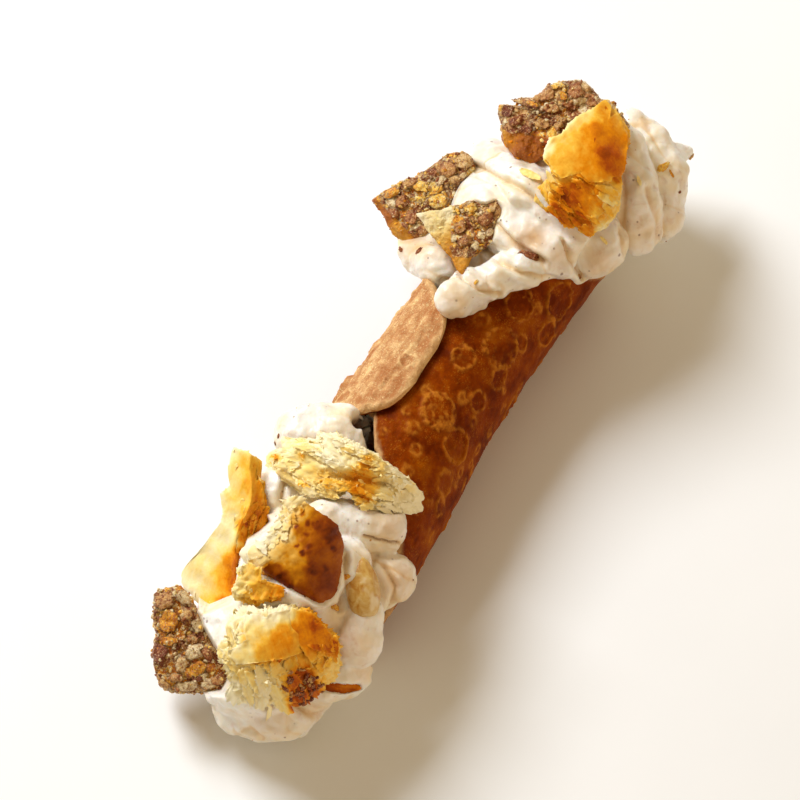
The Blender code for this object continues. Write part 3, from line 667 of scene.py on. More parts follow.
def merged(shapes):
    """Several shapes as one list of points and one of faces."""
    points, faces = [], []
    for shape_points, shape_faces in shapes:
        first = len(points)
        points += shape_points
        faces += [[first + i for i in face] for face in shape_faces]
    return points, faces


def whipped_cream():
    """Off-white whipped cream with stains, dust and specks of nut in it, drawn warmer and darker as painted
    shade in its hollows, its creases and spots that lie in shade, and brown in some creases: a stain in the
    crack, painted dark shade in the deep gap by the shell.
    """
    finish = Finish("whipped_cream")
    mix = finish.field.mix
    hollow = finish.painted("hollow")
    soft = finish.grain(6.0, 3.0)
    stain = finish.grain(3.0, 3.0, 0.6, 0.4)
    dust = finish.cells(1.9)
    dots = finish.cells(4.6)
    pores = finish.grain(0.6, 2.0)
    # Painted shade: the cream is drawn warmer and darker in the troughs of its folds and in its creases
    colour = finish.ramp(soft - hollow * 0.25, [(0.30, CREAM_WARM), (0.58, CREAM_LIT)])
    colour = mix(hollow.rise(0.25, 1.0) * 0.45, colour, CREAM_SHADE_AMBER)
    colour = mix(stain.rise(0.55, 0.76) * 0.55, colour, CREAM_STAIN)
    # Painted shade: spots where the cream lies in shade are drawn warmer and darker
    colour = mix(finish.painted("warm") * (0.45 + stain * 0.8), colour, CREAM_SHADE_AMBER)
    brown = finish.painted("brown")
    # Brown stains in the crack and creases, and painted dark shade in the deep gap by the shell
    colour = mix(brown.rise(0.2, 0.9) * 0.75 + brown.rise(0.9, 1.6) * 0.25, colour, BROWN_FOR_SPECKS_AND_GAP_SHADE)
    colour = mix((1 - dust.rise(0.06, 0.17)) * stain.rise(0.45, 0.58) * 0.65, colour, BROWN_FOR_SPECKS_AND_GAP_SHADE)
    colour = mix((1 - dots.rise(0.04, 0.10)) * soft.rise(0.45, 0.55) * 0.7, colour, BROWN_FOR_SPECKS_AND_GAP_SHADE)
    return finish.shader(colour, pores * 0.7 + soft, 0.12, Roughness=0.30, Specular_IOR_Level=0.45,
                         Subsurface_Weight=0.25, Subsurface_Radius=(1.0, 0.7, 0.45),
                         Subsurface_Scale=0.0014)


cream_finish = whipped_cream()


def tucked_at_shell(where):
    """Keeps cream from lying on the shell as a thin skin: it stays inside, or swells well clear of it."""
    middle = np.interp(where[:, 0], *zip(*SIDE_SHIFT))
    narrowing = np.interp(where[:, 0], *zip(*NARROWING))
    y, z = where[:, 1] - middle, where[:, 2] - AXIS_HEIGHT
    turn = (FLAP_ANGLE - np.degrees(np.arctan2(z, y))) % 360.0
    radius = np.hypot(y, z)
    over = np.zeros(len(where), dtype=bool)
    wall = np.full(len(where), SHELL_RADIUS) - narrowing
    for lap in (0.0, 360.0):
        at = turn + lap
        sheet = (at > 2) & (at < SHEET_TURN - 2)
        inside = ((where[:, 0] > -half_length(LOW_MOUTH, at) + MOUTH_OVERLAP)
                  & (where[:, 0] < half_length(HIGH_MOUTH, at) - MOUTH_OVERLAP) & sheet)
        wall = np.where(inside, np.maximum(wall, sheet_radius(at) - narrowing), wall)
        over |= inside
    above = radius - wall
    push = np.where(over & (above > -SKIN_DEPTH), SKIN_PUSH * (1 - smooth_step(0.3, 1.5, above)), 0.0)
    scale = (radius - push) / np.maximum(radius, 1e-6)
    made = where.copy()
    made[:, 1] = middle + y * scale
    made[:, 2] = AXIS_HEIGHT + z * scale
    return made


def cream_piece(name, shapes, fold, fold_wide, lumpy):
    """One end of the filling, merged into a smooth body, whose folds overlap one another round it."""
    obj = piece_of(name, *merged(shapes), cream_finish)
    remesh = obj.modifiers.new("merge", "REMESH")
    remesh.mode = "VOXEL"
    remesh.voxel_size = CREAM_VOXEL * MM
    soften = obj.modifiers.new("soften", "SMOOTH")
    soften.factor = 0.5
    soften.iterations = 5
    evaluated(obj)
    mesh = obj.data
    where = points_of(mesh)
    count = len(where)
    normal = np.empty(count * 3)
    mesh.vertex_normals.foreach_get("vector", normal)
    normal = normal.reshape(-1, 3)
    # Folds run round the body like the turns of a screw, and each one overlaps the next
    turn = np.arctan2(where[:, 1], where[:, 2] - AXIS_HEIGHT) * BODY_RADIUS
    spread = np.stack([where[:, 0], turn, np.hypot(where[:, 1], where[:, 2] - AXIS_HEIGHT)], 1)
    phase = where[:, 0] / fold_wide + 0.9 * cloud(spread, 13.0, 2, seed=3.0) + turn / 60.0
    share = phase % 1.0
    strength = np.clip(0.45 + 0.9 * cloud(spread, 11.0, 1, seed=8.0), 0.0, 1.2)
    rise = share ** 0.8 * (1 - smooth_step(0.84, 1.0, share)) / 0.87
    # Painted shade: the troughs between the folds are marked to be drawn warmer and darker
    hollow = strength * (np.exp(-((share - 1.0) / 0.05) ** 2) + np.exp(-(share / 0.06) ** 2))
    lump = cloud(where, 4.2, 2, seed=9.0)
    drag = cloud(spread * np.array([1.0, 0.25, 1.0]), 1.3, 3, seed=6.0)
    ripple = (fold * strength * (rise - 0.45) + lumpy * lump + 0.14 * cloud(where, 1.6, 2, seed=5.0)
              + 0.11 * drag + 0.35 * billowed(where, 5.0, 7.0))
    # Creases and stains that the front shows, with painted shade in their valleys, painted dark shade in
    # the deep gap and spots of painted warm shade, placed as seen and faded out where the cream turns away
    facing = np.clip(normal @ np.array(TOWARD) * 2.0, 0.0, 1.0)
    across = (where - np.array(MIDDLE)) @ np.array(ACROSS) + 0.25 * lump
    up = (where - np.array(MIDDLE)) @ np.array(UPWARD) + 0.25 * lump
    brown = np.zeros(count)
    for deep, wide, stained, path in CREASES:
        away = np.full(count, 99.0)
        for (x0, y0), (x1, y1) in zip(path, path[1:]):
            run, climb = x1 - x0, y1 - y0
            along = ((across - x0) * run + (up - y0) * climb) / (run ** 2 + climb ** 2)
            along = np.clip(along, 0, 1)
            away = np.minimum(away, np.hypot(across - x0 - along * run, up - y0 - along * climb))
        shown = facing if deep < DEEP_CREASE else (normal @ np.array(TOWARD) > -0.3)
        valley = np.exp(-(away / wide) ** 2) * shown
        bank = np.exp(-((away - 2.2 * wide) / (1.6 * wide)) ** 2)
        ripple += 0.45 * min(deep, 0.9) * bank * facing - deep * valley
        hollow += 0.8 * valley
        brown += stained * valley
    # Painted shade: spots of warm shade on the front of the cream
    warm = np.zeros(count)
    for x, y, radius, amount in CREAM_SHADE_SPOTS:
        near = np.exp(-((across - x) ** 2 + (up - y) ** 2) / radius ** 2)
        warm = np.maximum(warm, amount * near * facing)
    clumps = smooth_step(0.0, 0.6, cloud(where, 8.0, 2, seed=4.0)) + 0.15
    where += normal * ripple[:, None]
    where = tucked_at_shell(where)
    where[:, 2] = np.maximum(where[:, 2], 0.0)
    paint(mesh, {"hollow": hollow, "brown": brown, "warm": warm, "nutty": clumps})
    move_points(mesh, where)
    mesh.materials.clear()
    mesh.materials.append(cream_finish)
    mesh.shade_smooth()
    return hand_over(obj, "cream")


high_shapes = [ball(*HIGH_BODY, 4), ball(*HIGH_END, 4)]
high_shapes += [shape for stroke in HIGH_STROKES for shape in stroke_balls(stroke)]
low_shapes = [core_of_cream(), ball(*LOW_BODY, 4)]
low_shapes += [shape for stroke in LOW_STROKES for shape in stroke_balls(stroke)]
cream_high = cream_piece("cream_high", high_shapes, 0.5, 9.0, 0.6)
cream_low = cream_piece("cream_low", low_shapes, 0.4, 9.0, 0.5)


# Filo, the pastry of the baklava: paper-thin sheets brushed with butter, baked in a stack, then broken.
# The torn sheets lie a fraction of a millimetre apart and fray at the edges. They are pale where dry,
# golden or orange where buttered, and brown where the oven or the syrup got to them.
FILO_STOPS = [(0.0, srgb(255, 244, 204)), (0.20, srgb(255, 230, 148)), (0.40, srgb(252, 194, 64)),
              (0.55, srgb(234, 144, 4)), (0.70, srgb(184, 84, 0)), (0.84, srgb(116, 44, 0)),
              (1.0, srgb(56, 18, 0))]
# Spots of colour with a smaller radius than this, in mm, weigh more than the large ones beside them
SMALL_SPOT = 0.9
SMALL_SPOT_PULL = 3.0
# Each sheet is nicked at its edge in a few places, loose plates are rough polygons, and loose flakes are
# this many mm thick
NICKS = 4
PLATE_CORNERS = 14
FLAKE_BODY = 0.11
# The cream is pressed down round a piece out to this many times the piece's own reach
PRESSED_ROUND = 1.2
# A spot of colour is (mm across and up from the piece's middle, mm radius, how toasted it is from 0 to 1);
# on the curl, the spots on the side turned from the light are set darker as painted shade
FILO_DRAPE = dict(
    centre=(-31.3, 0.2, 36.0), slope=(0.05, 0.02), bow=(-0.040, -0.020), fibres=-24,
    outline=[(-14.4, 4), (-12.2, 4.9), (-10.6, 6.5), (-5.3, 6.5), (-4.9, 8.6), (-1.8, 7.5), (1.7, 6),
             (3.9, 4.5), (8.1, 1.8), (11.9, -1.3), (13.8, -3), (12.9, -4.4), (13.8, -5.9), (11.6, -6.8),
             (9.2, -6.4), (6.6, -6.6), (3.2, -5.7), (1.7, -3.7), (0.2, -2.1), (-1.2, -3.3), (-4, -4.1),
             (-7.1, -3.9), (-8.9, -2.6), (-10.7, -1.3), (-13.9, 0.9)],
    spots=[(-8.7, 3.2, 2.2, 0.40), (-11.4, 3.8, 1.6, 0.34), (-13.0, 3.4, 0.5, 0.85),
           (-8.2, 3.6, 0.5, 0.8), (-3.2, 5.6, 2.2, 0.22), (-10.5, -0.4, 2.2, 0.42),
           (-6.9, -1.7, 2.0, 0.46), (-6.9, -3.5, 1.4, 0.16), (-1.4, 2.9, 2.0, 0.24),
           (-2.3, -0.4, 1.6, 0.50), (0.6, -0.2, 1.5, 0.62), (3.2, -0.3, 1.6, 0.66),
           (6.0, 0.5, 1.4, 0.46), (8.7, 1.0, 1.8, 0.26), (9.6, -2.6, 2.0, 0.28),
           (10.5, -5.6, 1.8, 0.12), (-1.4, -2.6, 1.2, 0.40), (12.8, -3.4, 1.4, 0.16)])
FILO_CURL = dict(
    centre=(-43.8, 15.1, 26.5), slope=(0.55, -0.05), bow=(-0.030, -0.006), fibres=70,
    outline=[(-3.2, 10.9), (-1.9, 13.1), (0.9, 12.4), (3.2, 10.9), (3.4, 8), (2.3, 6.4), (4.2, 1.5),
             (5.1, -0.4), (3.2, -2.1), (1, -3.5), (-0.4, -7.5), (-1.1, -11.4), (-1.7, -14.5),
             (-6.5, -16.5), (-9.1, -14.4), (-10.7, -12.3), (-11.2, -9.4), (-7.4, -5.2), (-3.9, -0.4),
             (-3.6, 1.5), (-4.1, 4.7), (-2.1, 6.4), (-2.6, 8.9)],
    # Painted shade: the spots beyond the curl's ridge, on its side turned from the light, are set darker
    # orange
    spots=[(-2.8, 11.7, 1.6, 0.18), (-0.6, 9.8, 1.5, 0.36), (1.6, 9.2, 1.6, 0.48),
           (2.2, 7.1, 1.6, 0.56), (3.5, 1.6, 1.8, 0.62), (2.2, -1.1, 1.8, 0.64), (-1.5, 7.1, 1.4, 0.26),
           (-0.6, 3.4, 1.6, 0.36), (-3.3, 1.6, 2.0, 0.18), (-5.1, -3.9, 2.4, 0.16),
           (-7.9, -9.4, 2.4, 0.20), (-5.1, -13.0, 2.0, 0.32), (-8.6, -12.0, 1.6, 0.14),
           (-4.0, -10.0, 1.2, 0.52), (-1.5, -7.5, 1.6, 0.66), (-2.4, -12.1, 1.8, 0.70),
           (-4.0, -14.6, 0.7, 0.75), (-6.0, -15.4, 1.4, 0.5)])
FILO_CHUNK = dict(
    centre=(-68.0, -4.8, 31.5), slope=(-0.08, 0.10), bow=(-0.028, -0.024), fibres=-70,
    outline=[(-5.9, 7.8), (-4.7, 8.4), (-2.5, 8.2), (-0.4, 8.2), (2.5, 9.1), (4.9, 8.4), (7.1, 7.5),
             (9.4, 5.3), (10.9, 3.4), (11.8, 1.6), (12.2, -1.7), (11.1, -4.1), (9.4, -5.7), (8.2, -7.2),
             (5.8, -9.4), (3.4, -9), (0.3, -8.8), (-3.4, -8.1), (-7, -8.8), (-8.3, -7), (-6.9, -5.7),
             (-7.9, -4.4), (-7.9, -2.4), (-9.6, -0.8), (-9.2, 1.4), (-7.6, 3.2), (-7.9, 4.5),
             (-7.6, 6.4)],
    spots=[(-2.5, 7.5, 2.2, 0.16), (-6.1, 0.2, 2.2, 0.26), (-7.6, 2.0, 1.6, 0.16),
           (0.3, 1.1, 2.0, 0.60), (-2.1, 0.2, 1.6, 0.52), (2.1, 2.4, 1.5, 0.60), (-3.4, 3.4, 1.8, 0.36),
           (4.9, -0.4, 1.8, 0.54), (8.5, 2.0, 2.0, 0.56), (9.4, -1.6, 2.2, 0.46), (5.8, 6.6, 1.6, 0.58),
           (8.5, 5.7, 1.6, 0.72), (10.4, 2.0, 1.4, 0.64), (-2.5, -5.3, 2.4, 0.22),
           (-5.2, -7.1, 1.6, 0.08), (0.3, -7.1, 1.8, 0.12), (1.2, -3.5, 1.8, 0.34),
           (-4.6, -3.0, 2.0, 0.30), (4.9, -5.3, 2.2, 0.84), (3.6, 7.4, 1.0, 0.2)])
FILO_SCRAP = dict(
    centre=(-58.6, 3.8, 34.6), slope=(0.05, 0.05), bow=(-0.03, -0.03), fibres=60,
    outline=[(-3.4, 3.5), (-1.7, 4.2), (0.8, 3), (0.8, 0.9), (5.2, -0.5), (5.4, -2.2), (-0.1, -3.5),
             (-3.9, -2.2), (-4.3, -0.5), (-3, 2.2)],
    spots=[(-1.6, 2.6, 1.4, 0.34), (-3.2, -0.6, 1.2, 0.20), (1.5, -0.5, 1.2, 0.42),
           (3.6, -1.6, 1.4, 0.54), (-1.0, -2.4, 1.2, 0.46), (-2.6, 3.4, 0.6, 0.10)])


def reach_at(outline, angles):
    """The outline's distance from its middle at each angle, with straight sides between its corners."""
    corners = sorted(outline, key=lambda c: math.atan2(c[1], c[0]) % math.tau)
    known = [math.atan2(y, x) % math.tau for x, y in corners]
    made = []
    for a in angles:
        after = next((k for k, b in enumerate(known) if b > a), 0)
        (x0, y0), (x1, y1) = corners[after - 1], corners[after]
        made.append((x0 * y1 - x1 * y0) / (math.cos(a) * (y1 - y0) - math.sin(a) * (x1 - x0)))
    return np.array(made)


def face_rise(spec, a, b):
    """How far a topping's sloped and bowed face lies towards the viewer, at mm across and up from its
    middle as seen."""
    return spec["slope"][0] * a + spec["slope"][1] * b + spec["bow"][0] * a * a + spec["bow"][1] * b * b


def face_points(spec, a, b, lift):
    """Points of a topping's face, lifted by some millimetres towards the viewer."""
    rise = face_rise(spec, a, b) + lift
    middle = np.array(spec["centre"])
    return (middle + a[..., None] * np.array(ACROSS) + b[..., None] * np.array(UPWARD)
            + rise[..., None] * np.array(TOWARD))


def level_at(spec, a, b):
    """How toasted a piece is at each point, blended between its spots, of which small ones pull harder."""
    weight, total = np.full_like(a, 1e-4), np.full_like(a, 0.3e-4)
    for across, up, radius, level in spec["spots"]:
        pull = SMALL_SPOT_PULL if radius < SMALL_SPOT else 1.0
        near = np.exp(-((a - across) ** 2 + (b - up) ** 2) / radius ** 2) * pull + 1e-5
        weight += near
        total += near * level
    return total / weight


def on_circle(angles, fineness, height):
    """Places on a circle, where noise is read so that it closes on itself round an outline."""
    return [Vector((math.cos(t) * fineness, math.sin(t) * fineness, height)) for t in angles]


def torn_sheet(spec, lift, seed, outline=None, level=0.0, wave=0.35, wave_size=3.0, fray=0.05, crumple=0.4,
               curl=0.5, thick=0.2, sectors=220, rings=20, shift=(0.0, 0.0), grow=1.0, form=None,
               fringe=0.3, thready=1.0, flaky=0.25, rim=-0.12, blunt=1, droop=0.0):
    """One thin sheet with torn edges, as points, faces and what is painted on its points. It has the
    piece's own outline unless another is given, and it lies that many mm in front of the piece's face."""
    draw = random.Random(seed)
    angles = np.arange(sectors) * math.tau / sectors
    edge = np.array([noise.fractal(p, 0.8, 2.0, 3) for p in on_circle(angles, 2.2, seed * 1.7)])
    teeth = np.array([noise.noise(p) for p in on_circle(angles, 15, seed * 2.3)])
    spikes = np.array([draw.random() ** 3 * (1 if draw.random() < 0.8 else 2.2) for t in angles])
    reach = reach_at(outline or spec["outline"], angles)
    reach = sum(np.roll(reach, k) for k in range(-blunt, blunt + 1)) / (2 * blunt + 1)
    reach = reach * grow * (1 + fray * edge + fray * 0.7 * teeth)
    for _ in range(NICKS):
        at, deep = draw.uniform(0, math.tau), draw.uniform(0.04, 0.16)
        away = np.abs((angles - at + math.pi) % math.tau - math.pi)
        reach *= 1 - deep * np.exp(-(away / draw.uniform(0.03, 0.14)) ** 2)
    share = np.linspace(0, 1, rings + 1)[1:] ** 0.8
    frayed = reach[None, :] * share[:, None] + fringe * (spikes - 0.4) * (share[:, None] ** 14)
    a = np.concatenate([[0.0], (frayed * np.cos(angles)).ravel()]) + shift[0]
    b = np.concatenate([[0.0], (frayed * np.sin(angles)).ravel()]) + shift[1]
    out = np.concatenate([[0.0], np.repeat(share, sectors)])
    lean = math.radians(spec["fibres"])
    along = a * math.cos(lean) + b * math.sin(lean)
    aside = b * math.cos(lean) - a * math.sin(lean)
    flat = np.stack([a, b, np.full_like(a, seed * 1.3)], 1)
    fibre = np.stack([along / 5.0, aside, np.full_like(a, seed * 1.3)], 1)
    rough = cloud(flat, wave_size, 3, seed=seed)
    flick = cloud(flat, 1.5, 2, seed=seed + 9)
    threads = cloud(fibre, 0.8, 2, seed=seed + 4)
    # The sheet is wavy and crumpled with ridges along its fibres, and curls up or droops at its rim
    height = (lift + wave * rough + crumple * (billowed(flat, wave_size * 0.8, seed + 2) - 0.3)
              + 0.10 * thready * threads + curl * out ** 6 * (flick + 0.5 * threads) - droop * out ** 5)
    if form is not None:
        height = height + form(a, b)
    front = face_points(spec, a, b, height)
    back = face_points(spec, a, b, height - thick * (1.1 - 0.6 * out))
    toast = (level_at(spec, a + 0.45 * flick, b + 0.45 * threads) + level + 0.05 * rough
             + 0.05 * thready * threads + rim * out ** 12 + 0.04 * flick)
    count = len(a)
    faces = []
    for side in (0, count):
        for s in range(sectors):
            t = (s + 1) % sectors
            ends = (side, side + 1 + s, side + 1 + t)
            faces.append(ends if side == 0 else ends[::-1])
            for r in range(rings - 1):
                near, far = side + 1 + r * sectors, side + 1 + (r + 1) * sectors
                quad = (near + s, far + s, far + t, near + t)
                faces.append(quad if side == 0 else quad[::-1])
    last = 1 + (rings - 1) * sectors
    for s in range(sectors):
        t = (s + 1) % sectors
        faces.append((last + s, count + last + s, count + last + t, last + t))
    edge_flaky = flaky + (1 - flaky) * flaky ** 0.3 * out ** 6
    painted = {"toast": np.concatenate([toast, toast + 0.04]),
               "flaky": np.concatenate([edge_flaky, np.zeros_like(out)]),
               "along": np.concatenate([along, along]), "aside": np.concatenate([aside, aside]),
               "thready": np.full(2 * count, thready)}
    return (np.concatenate([front, back]).tolist(), faces), painted


def filo_finish(name, stops):
    """Baked pastry whose colour follows how toasted it is, with fine fibres, dry edges and butter gloss."""
    finish = Finish(name)
    toast = finish.painted("toast")
    thread = finish.field.node("ShaderNodeTexNoise", {}, {
        "Vector": finish.field.node("ShaderNodeCombineXYZ", {}, {
            0: finish.painted("along") * 0.22, 1: finish.painted("aside") * 1.5, 2: toast * 2.0}),
        "Scale": 1.0, "Detail": 4.0, "Roughness": 0.6})
    cloudy = finish.grain(2.2, 3.0, 0.6, 0.5)
    blot = finish.grain(0.5, 3.0, 0.6)
    thready = finish.painted("thready")
    level = toast + (thread - 0.5) * thready * 0.24 + (cloudy - 0.5) * 0.20 + (blot - 0.5) * 0.12
    colour = finish.ramp(level, stops)
    relief = thread * thready * 0.9 + blot * 0.5 + cloudy * 0.4
    return finish.shader(colour, relief, 0.14, Roughness=0.36 + blot * 0.2, Specular_IOR_Level=0.16,
                         Subsurface_Weight=0.06, Subsurface_Radius=(1.0, 0.62, 0.22),
                         Subsurface_Scale=0.0005)


filo = filo_finish("filo", FILO_STOPS)


def press_into(spec, under, form=None):
    """Pushes the cream down wherever a piece lies on it, so that it lies under the piece's face."""
    corner_reach = max(math.hypot(x, y) for x, y in spec["outline"]) * PRESSED_ROUND
    for filling in (cream_high, cream_low):
        where = points_of(filling.data)
        offset = where - np.array(spec["centre"])
        a, b, toward = offset @ np.array(ACROSS), offset @ np.array(UPWARD), offset @ np.array(TOWARD)
        rise = face_rise(spec, a, b)
        if form is not None:
            rise = rise + form(a, b)
        chosen = np.flatnonzero((np.hypot(a, b) < corner_reach) & (toward > rise - under))
        if len(chosen) == 0:
            continue
        reach = reach_at(spec["outline"], np.arctan2(b[chosen], a[chosen]) % math.tau)
        share = np.hypot(a[chosen], b[chosen]) / reach
        fall = (toward - rise + under)[chosen] * (1 - smooth_step(0.90, 1.06, share))
        where[chosen] -= fall[:, None] * np.array(TOWARD)
        where[:, 2] = np.maximum(where[:, 2], 0.0)
        move_points(filling.data, where)


def scatter_tree(name, labels):
    """An empty Geometry Nodes tree with named inputs, and a field for each of them."""
    tree = bpy.data.node_groups.new(name, "GeometryNodeTree")
    tree.interface.new_socket("Geometry", in_out="OUTPUT", socket_type="NodeSocketGeometry")
    inputs = {}
    for label, kind in labels.items():
        made = tree.interface.new_socket(label, in_out="INPUT", socket_type="NodeSocket" + kind)
        inputs[label] = made.identifier
    start = tree.nodes.new("NodeGroupInput")
    return Field(tree), inputs, {label: Field(tree, start.outputs[label]) for label in inputs}


def carried(field, label):
    """A number that the scattered-on mesh carries at its points."""
    return field.node("GeometryNodeInputNamedAttribute", {"data_type": "FLOAT"}, {"Name": label})


def between(field, low, high, seed):
    """A random number for each point or instance."""
    return field.node("FunctionNodeRandomValue", {"data_type": "FLOAT"},
                      {2: low, 3: high, "Seed": seed}, 1)


def scattered(field, given, layer):
    """Points scattered where a painted layer is high, and how each is turned to stand on the surface."""
    points = field.node("GeometryNodeDistributePointsOnFaces", {}, {
        "Mesh": given["Geometry"], "Density": given["Density"] * carried(field, layer),
        "Seed": given["Seed"]})
    return points, Field(field.tree, points.socket.node.outputs["Rotation"])


def marked(field, instances, layer, value):
    """Stores one number on each instance, for its material."""
    return field.node("GeometryNodeStoreNamedAttribute", {"data_type": "FLOAT", "domain": "INSTANCE"},
                      {"Geometry": instances, "Name": layer, "Value": value})


def crumpled(field, instances, fineness, amount):
    """Makes the instances real and pushes their points about, so that no two are alike."""
    real = field.node("GeometryNodeRealizeInstances", {}, {"Geometry": instances})
    lump = field.node("ShaderNodeTexNoise", {}, {"Scale": fineness, "Detail": 2.0}, 1)
    centred = field.node("ShaderNodeVectorMath", {"operation": "SUBTRACT"}, {0: lump, 1: (0.5, 0.5, 0.5)})
    offset = field.node("ShaderNodeVectorMath", {"operation": "SCALE"}, {0: centred, "Scale": amount})
    return field.node("GeometryNodeSetPosition", {}, {"Geometry": real, "Offset": offset})


def finished(field, geometry, material):
    """Gives the scattered pieces their material and ends the tree."""
    done = field.node("GeometryNodeSetMaterial", {}, {"Geometry": geometry, "Material": material})
    end = field.tree.nodes.new("NodeGroupOutput")
    field.tree.links.new(done.socket, end.inputs[0])


def flake_tree():
    """Geometry Nodes that scatter small broken flakes over a piece, most of them at its torn edges."""
    field, inputs, given = scatter_tree("scattered_flakes", {
        "Geometry": "Geometry", "Density": "Float", "Smallest": "Float", "Largest": "Float",
        "Tilt": "Float", "Seed": "Int", "Paler": "Float", "Fibres": "Vector", "Material": "Material"})
    points, upright = scattered(field, given, "flaky")
    # One flake is a small sheet, 1 long, that narrows towards both of its ends
    sheet = field.node("GeometryNodeMeshGrid", {}, {
        "Size X": 1.0, "Size Y": 0.40, "Vertices X": 7, "Vertices Y": 4})
    at = field.node("GeometryNodeInputPosition")
    x, y = (field.node("ShaderNodeSeparateXYZ", {}, {0: at}, k) for k in (0, 1))
    narrowed = field.node("ShaderNodeCombineXYZ", {}, {0: x, 1: y * (1 - x * x * 3.2), 2: 0.0})
    flake = field.node("GeometryNodeSetPosition", {}, {"Geometry": sheet, "Position": narrowed})
    spin = between(field, -0.6, 0.6, 5)
    combed = field.node("FunctionNodeAlignRotationToVector", {"axis": "X", "pivot_axis": "Z"},
                        {"Rotation": upright, "Vector": given["Fibres"]})
    lean = between(field, given["Tilt"] * -1, given["Tilt"], 6)
    turned = field.node("FunctionNodeRotateRotation", {"rotation_space": "LOCAL"}, {
        0: combed, 1: field.node("ShaderNodeCombineXYZ", {}, {0: lean, 1: lean * 0.6, 2: spin})})
    size = between(field, given["Smallest"], given["Largest"], 2)
    strewn = field.node("GeometryNodeInstanceOnPoints", {}, {
        "Points": points, "Instance": flake, "Rotation": turned, "Scale": size})
    toast = carried(field, "toast") + between(field, -0.14, 0.10, 4) - given["Paler"]
    rough = crumpled(field, marked(field, strewn, "toast", toast), 700.0, given["Largest"] * 0.9)
    finished(field, rough, given["Material"])
    return field.tree, inputs


flakes_tree, flake_inputs = flake_tree()


def strew(name, carrier, tree, inputs, values):
    """A copy of a carrier with a tree on it, whose inputs are set before it is first worked out."""
    obj = bpy.data.objects.new(name, carrier.data.copy())
    bpy.context.scene.collection.objects.link(obj)
    modifier = obj.modifiers.new("strewn", "NODES")
    modifier.node_group = tree
    for label, value in values.items():
        modifier[inputs[label]] = value
    return obj


def flakes_over(name, carrier, density, smallest, largest, tilt, seed, paler, node, fibres=0.0):
    """Flakes scattered over a carrier, as one plain mesh. Density is in flakes per square millimetre."""
    lean = math.radians(fibres)
    obj = strew(name, carrier, flakes_tree, flake_inputs, {
        "Density": density / MM ** 2, "Smallest": smallest * MM, "Largest": largest * MM,
        "Tilt": math.radians(tilt), "Seed": seed, "Paler": paler, "Material": filo,
        "Fibres": ACROSS * math.cos(lean) + UPWARD * math.sin(lean)})
    body = obj.modifiers.new("body", "SOLIDIFY")
    body.thickness = FLAKE_BODY * MM
    body.offset = 0.0
    hand_over(evaluated(obj), node)


def stack_of(node, sheets, material=filo, name=None):
    """Joins the sheets of one broken piece into one object."""
    shapes, painted = zip(*sheets)
    layers = {key: np.concatenate([p[key] for p in painted]) for key in painted[0]}
    obj = piece_of(name or node + "_sheets", *merged(shapes), material, layers)
    return hand_over(obj, node)


def sway(k, amount):
    """A small sideways offset that differs from sheet to sheet."""
    return (amount * math.sin(k * 2.1 + 0.7), amount * math.cos(k * 1.7))


def turned(x, y, angle):
    """A place of a flat outline, turned about the outline's middle."""
    return x * math.cos(angle) - y * math.sin(angle), x * math.sin(angle) + y * math.cos(angle)


def loose_plates(spec, count, seed, long, wide, lift, form, spread=0.85, level=0.0, stray=0.3,
                 where=None):
    """Torn flakes that lie along a piece's fibres, each a little raised at one side."""
    draw = random.Random(seed)
    made = []
    while len(made) < count:
        angle, share = draw.uniform(0, math.tau), spread * math.sqrt(draw.random())
        reach = float(reach_at(spec["outline"], [angle])[0]) * share
        at_a, at_b = reach * math.cos(angle), reach * math.sin(angle)
        if where is not None and not where(at_a, at_b):
            continue
        turn = math.radians(spec["fibres"]) + draw.gauss(0, stray)
        length, width = draw.uniform(*long) / 2, draw.uniform(*wide) / 2
        outline = []
        for k in range(PLATE_CORNERS):
            far, t = draw.uniform(0.75, 1.15), k * math.tau / PLATE_CORNERS
            x, y = length * far * math.cos(t), width * far * math.sin(t)
            outline.append(turned(x, y, turn))
        tilt = draw.uniform(-0.3, 0.3)

        def tilted(a, b, at_a=at_a, at_b=at_b, turn=turn, tilt=tilt):
            return form(a, b) + tilt * ((b - at_b) * math.cos(turn) - (a - at_a) * math.sin(turn))

        made.append(torn_sheet(
            spec, lift + draw.uniform(-0.2, 0.3), seed + len(made), outline,
            level=level + draw.uniform(-0.12, 0.10), wave=0.22, wave_size=1.6, fray=0.17, crumple=0.3,
            curl=0.45, thick=0.12, sectors=60, rings=5, shift=(at_a, at_b), form=tilted, fringe=0.35,
            flaky=0.1))
    return made


def drape_fold(a, b):
    """The groove that runs along the drape between its swollen upper flakes and its frayed tail."""
    groove = np.exp(-((b + 0.12 * a + 0.2) / 0.8) ** 2)
    groove = groove * smooth_step(-4, -1, a) * (1 - smooth_step(6, 9, a))
    return -1.3 * groove - 0.3 * smooth_step(5, 13, a) + 0.5 * np.exp(-((b - 2.2 + 0.3 * a) / 1.3) ** 2)


drape = [torn_sheet(
    FILO_DRAPE, -0.42 * k, 20 + k, level=-0.17, wave=0.40, wave_size=2.4,
    fray=0.07, crumple=0.45, curl=0.6, rings=25 if k < 2 else 8, grow=0.84 + 0.02 * k, form=drape_fold,
    shift=sway(k, 0.5), flaky=0.25) for k in range(9)]
drape += loose_plates(FILO_DRAPE, 40, 300, (2.5, 6.5), (0.8, 2.2), 0.35, drape_fold, level=-0.13)
drape += loose_plates(FILO_DRAPE, 24, 345, (2.5, 6.0), (0.7, 1.8), 0.5, drape_fold, spread=0.97,
                      level=-0.18, where=lambda a, b: a > 3.5)
press_into(FILO_DRAPE, 1.8, drape_fold)
drape_stack = stack_of("filo_drape", drape)
flakes_over("filo_drape_flakes", drape_stack, 0.40, 0.6, 2.2, 18, 31, -0.02, "filo_drape", -24)


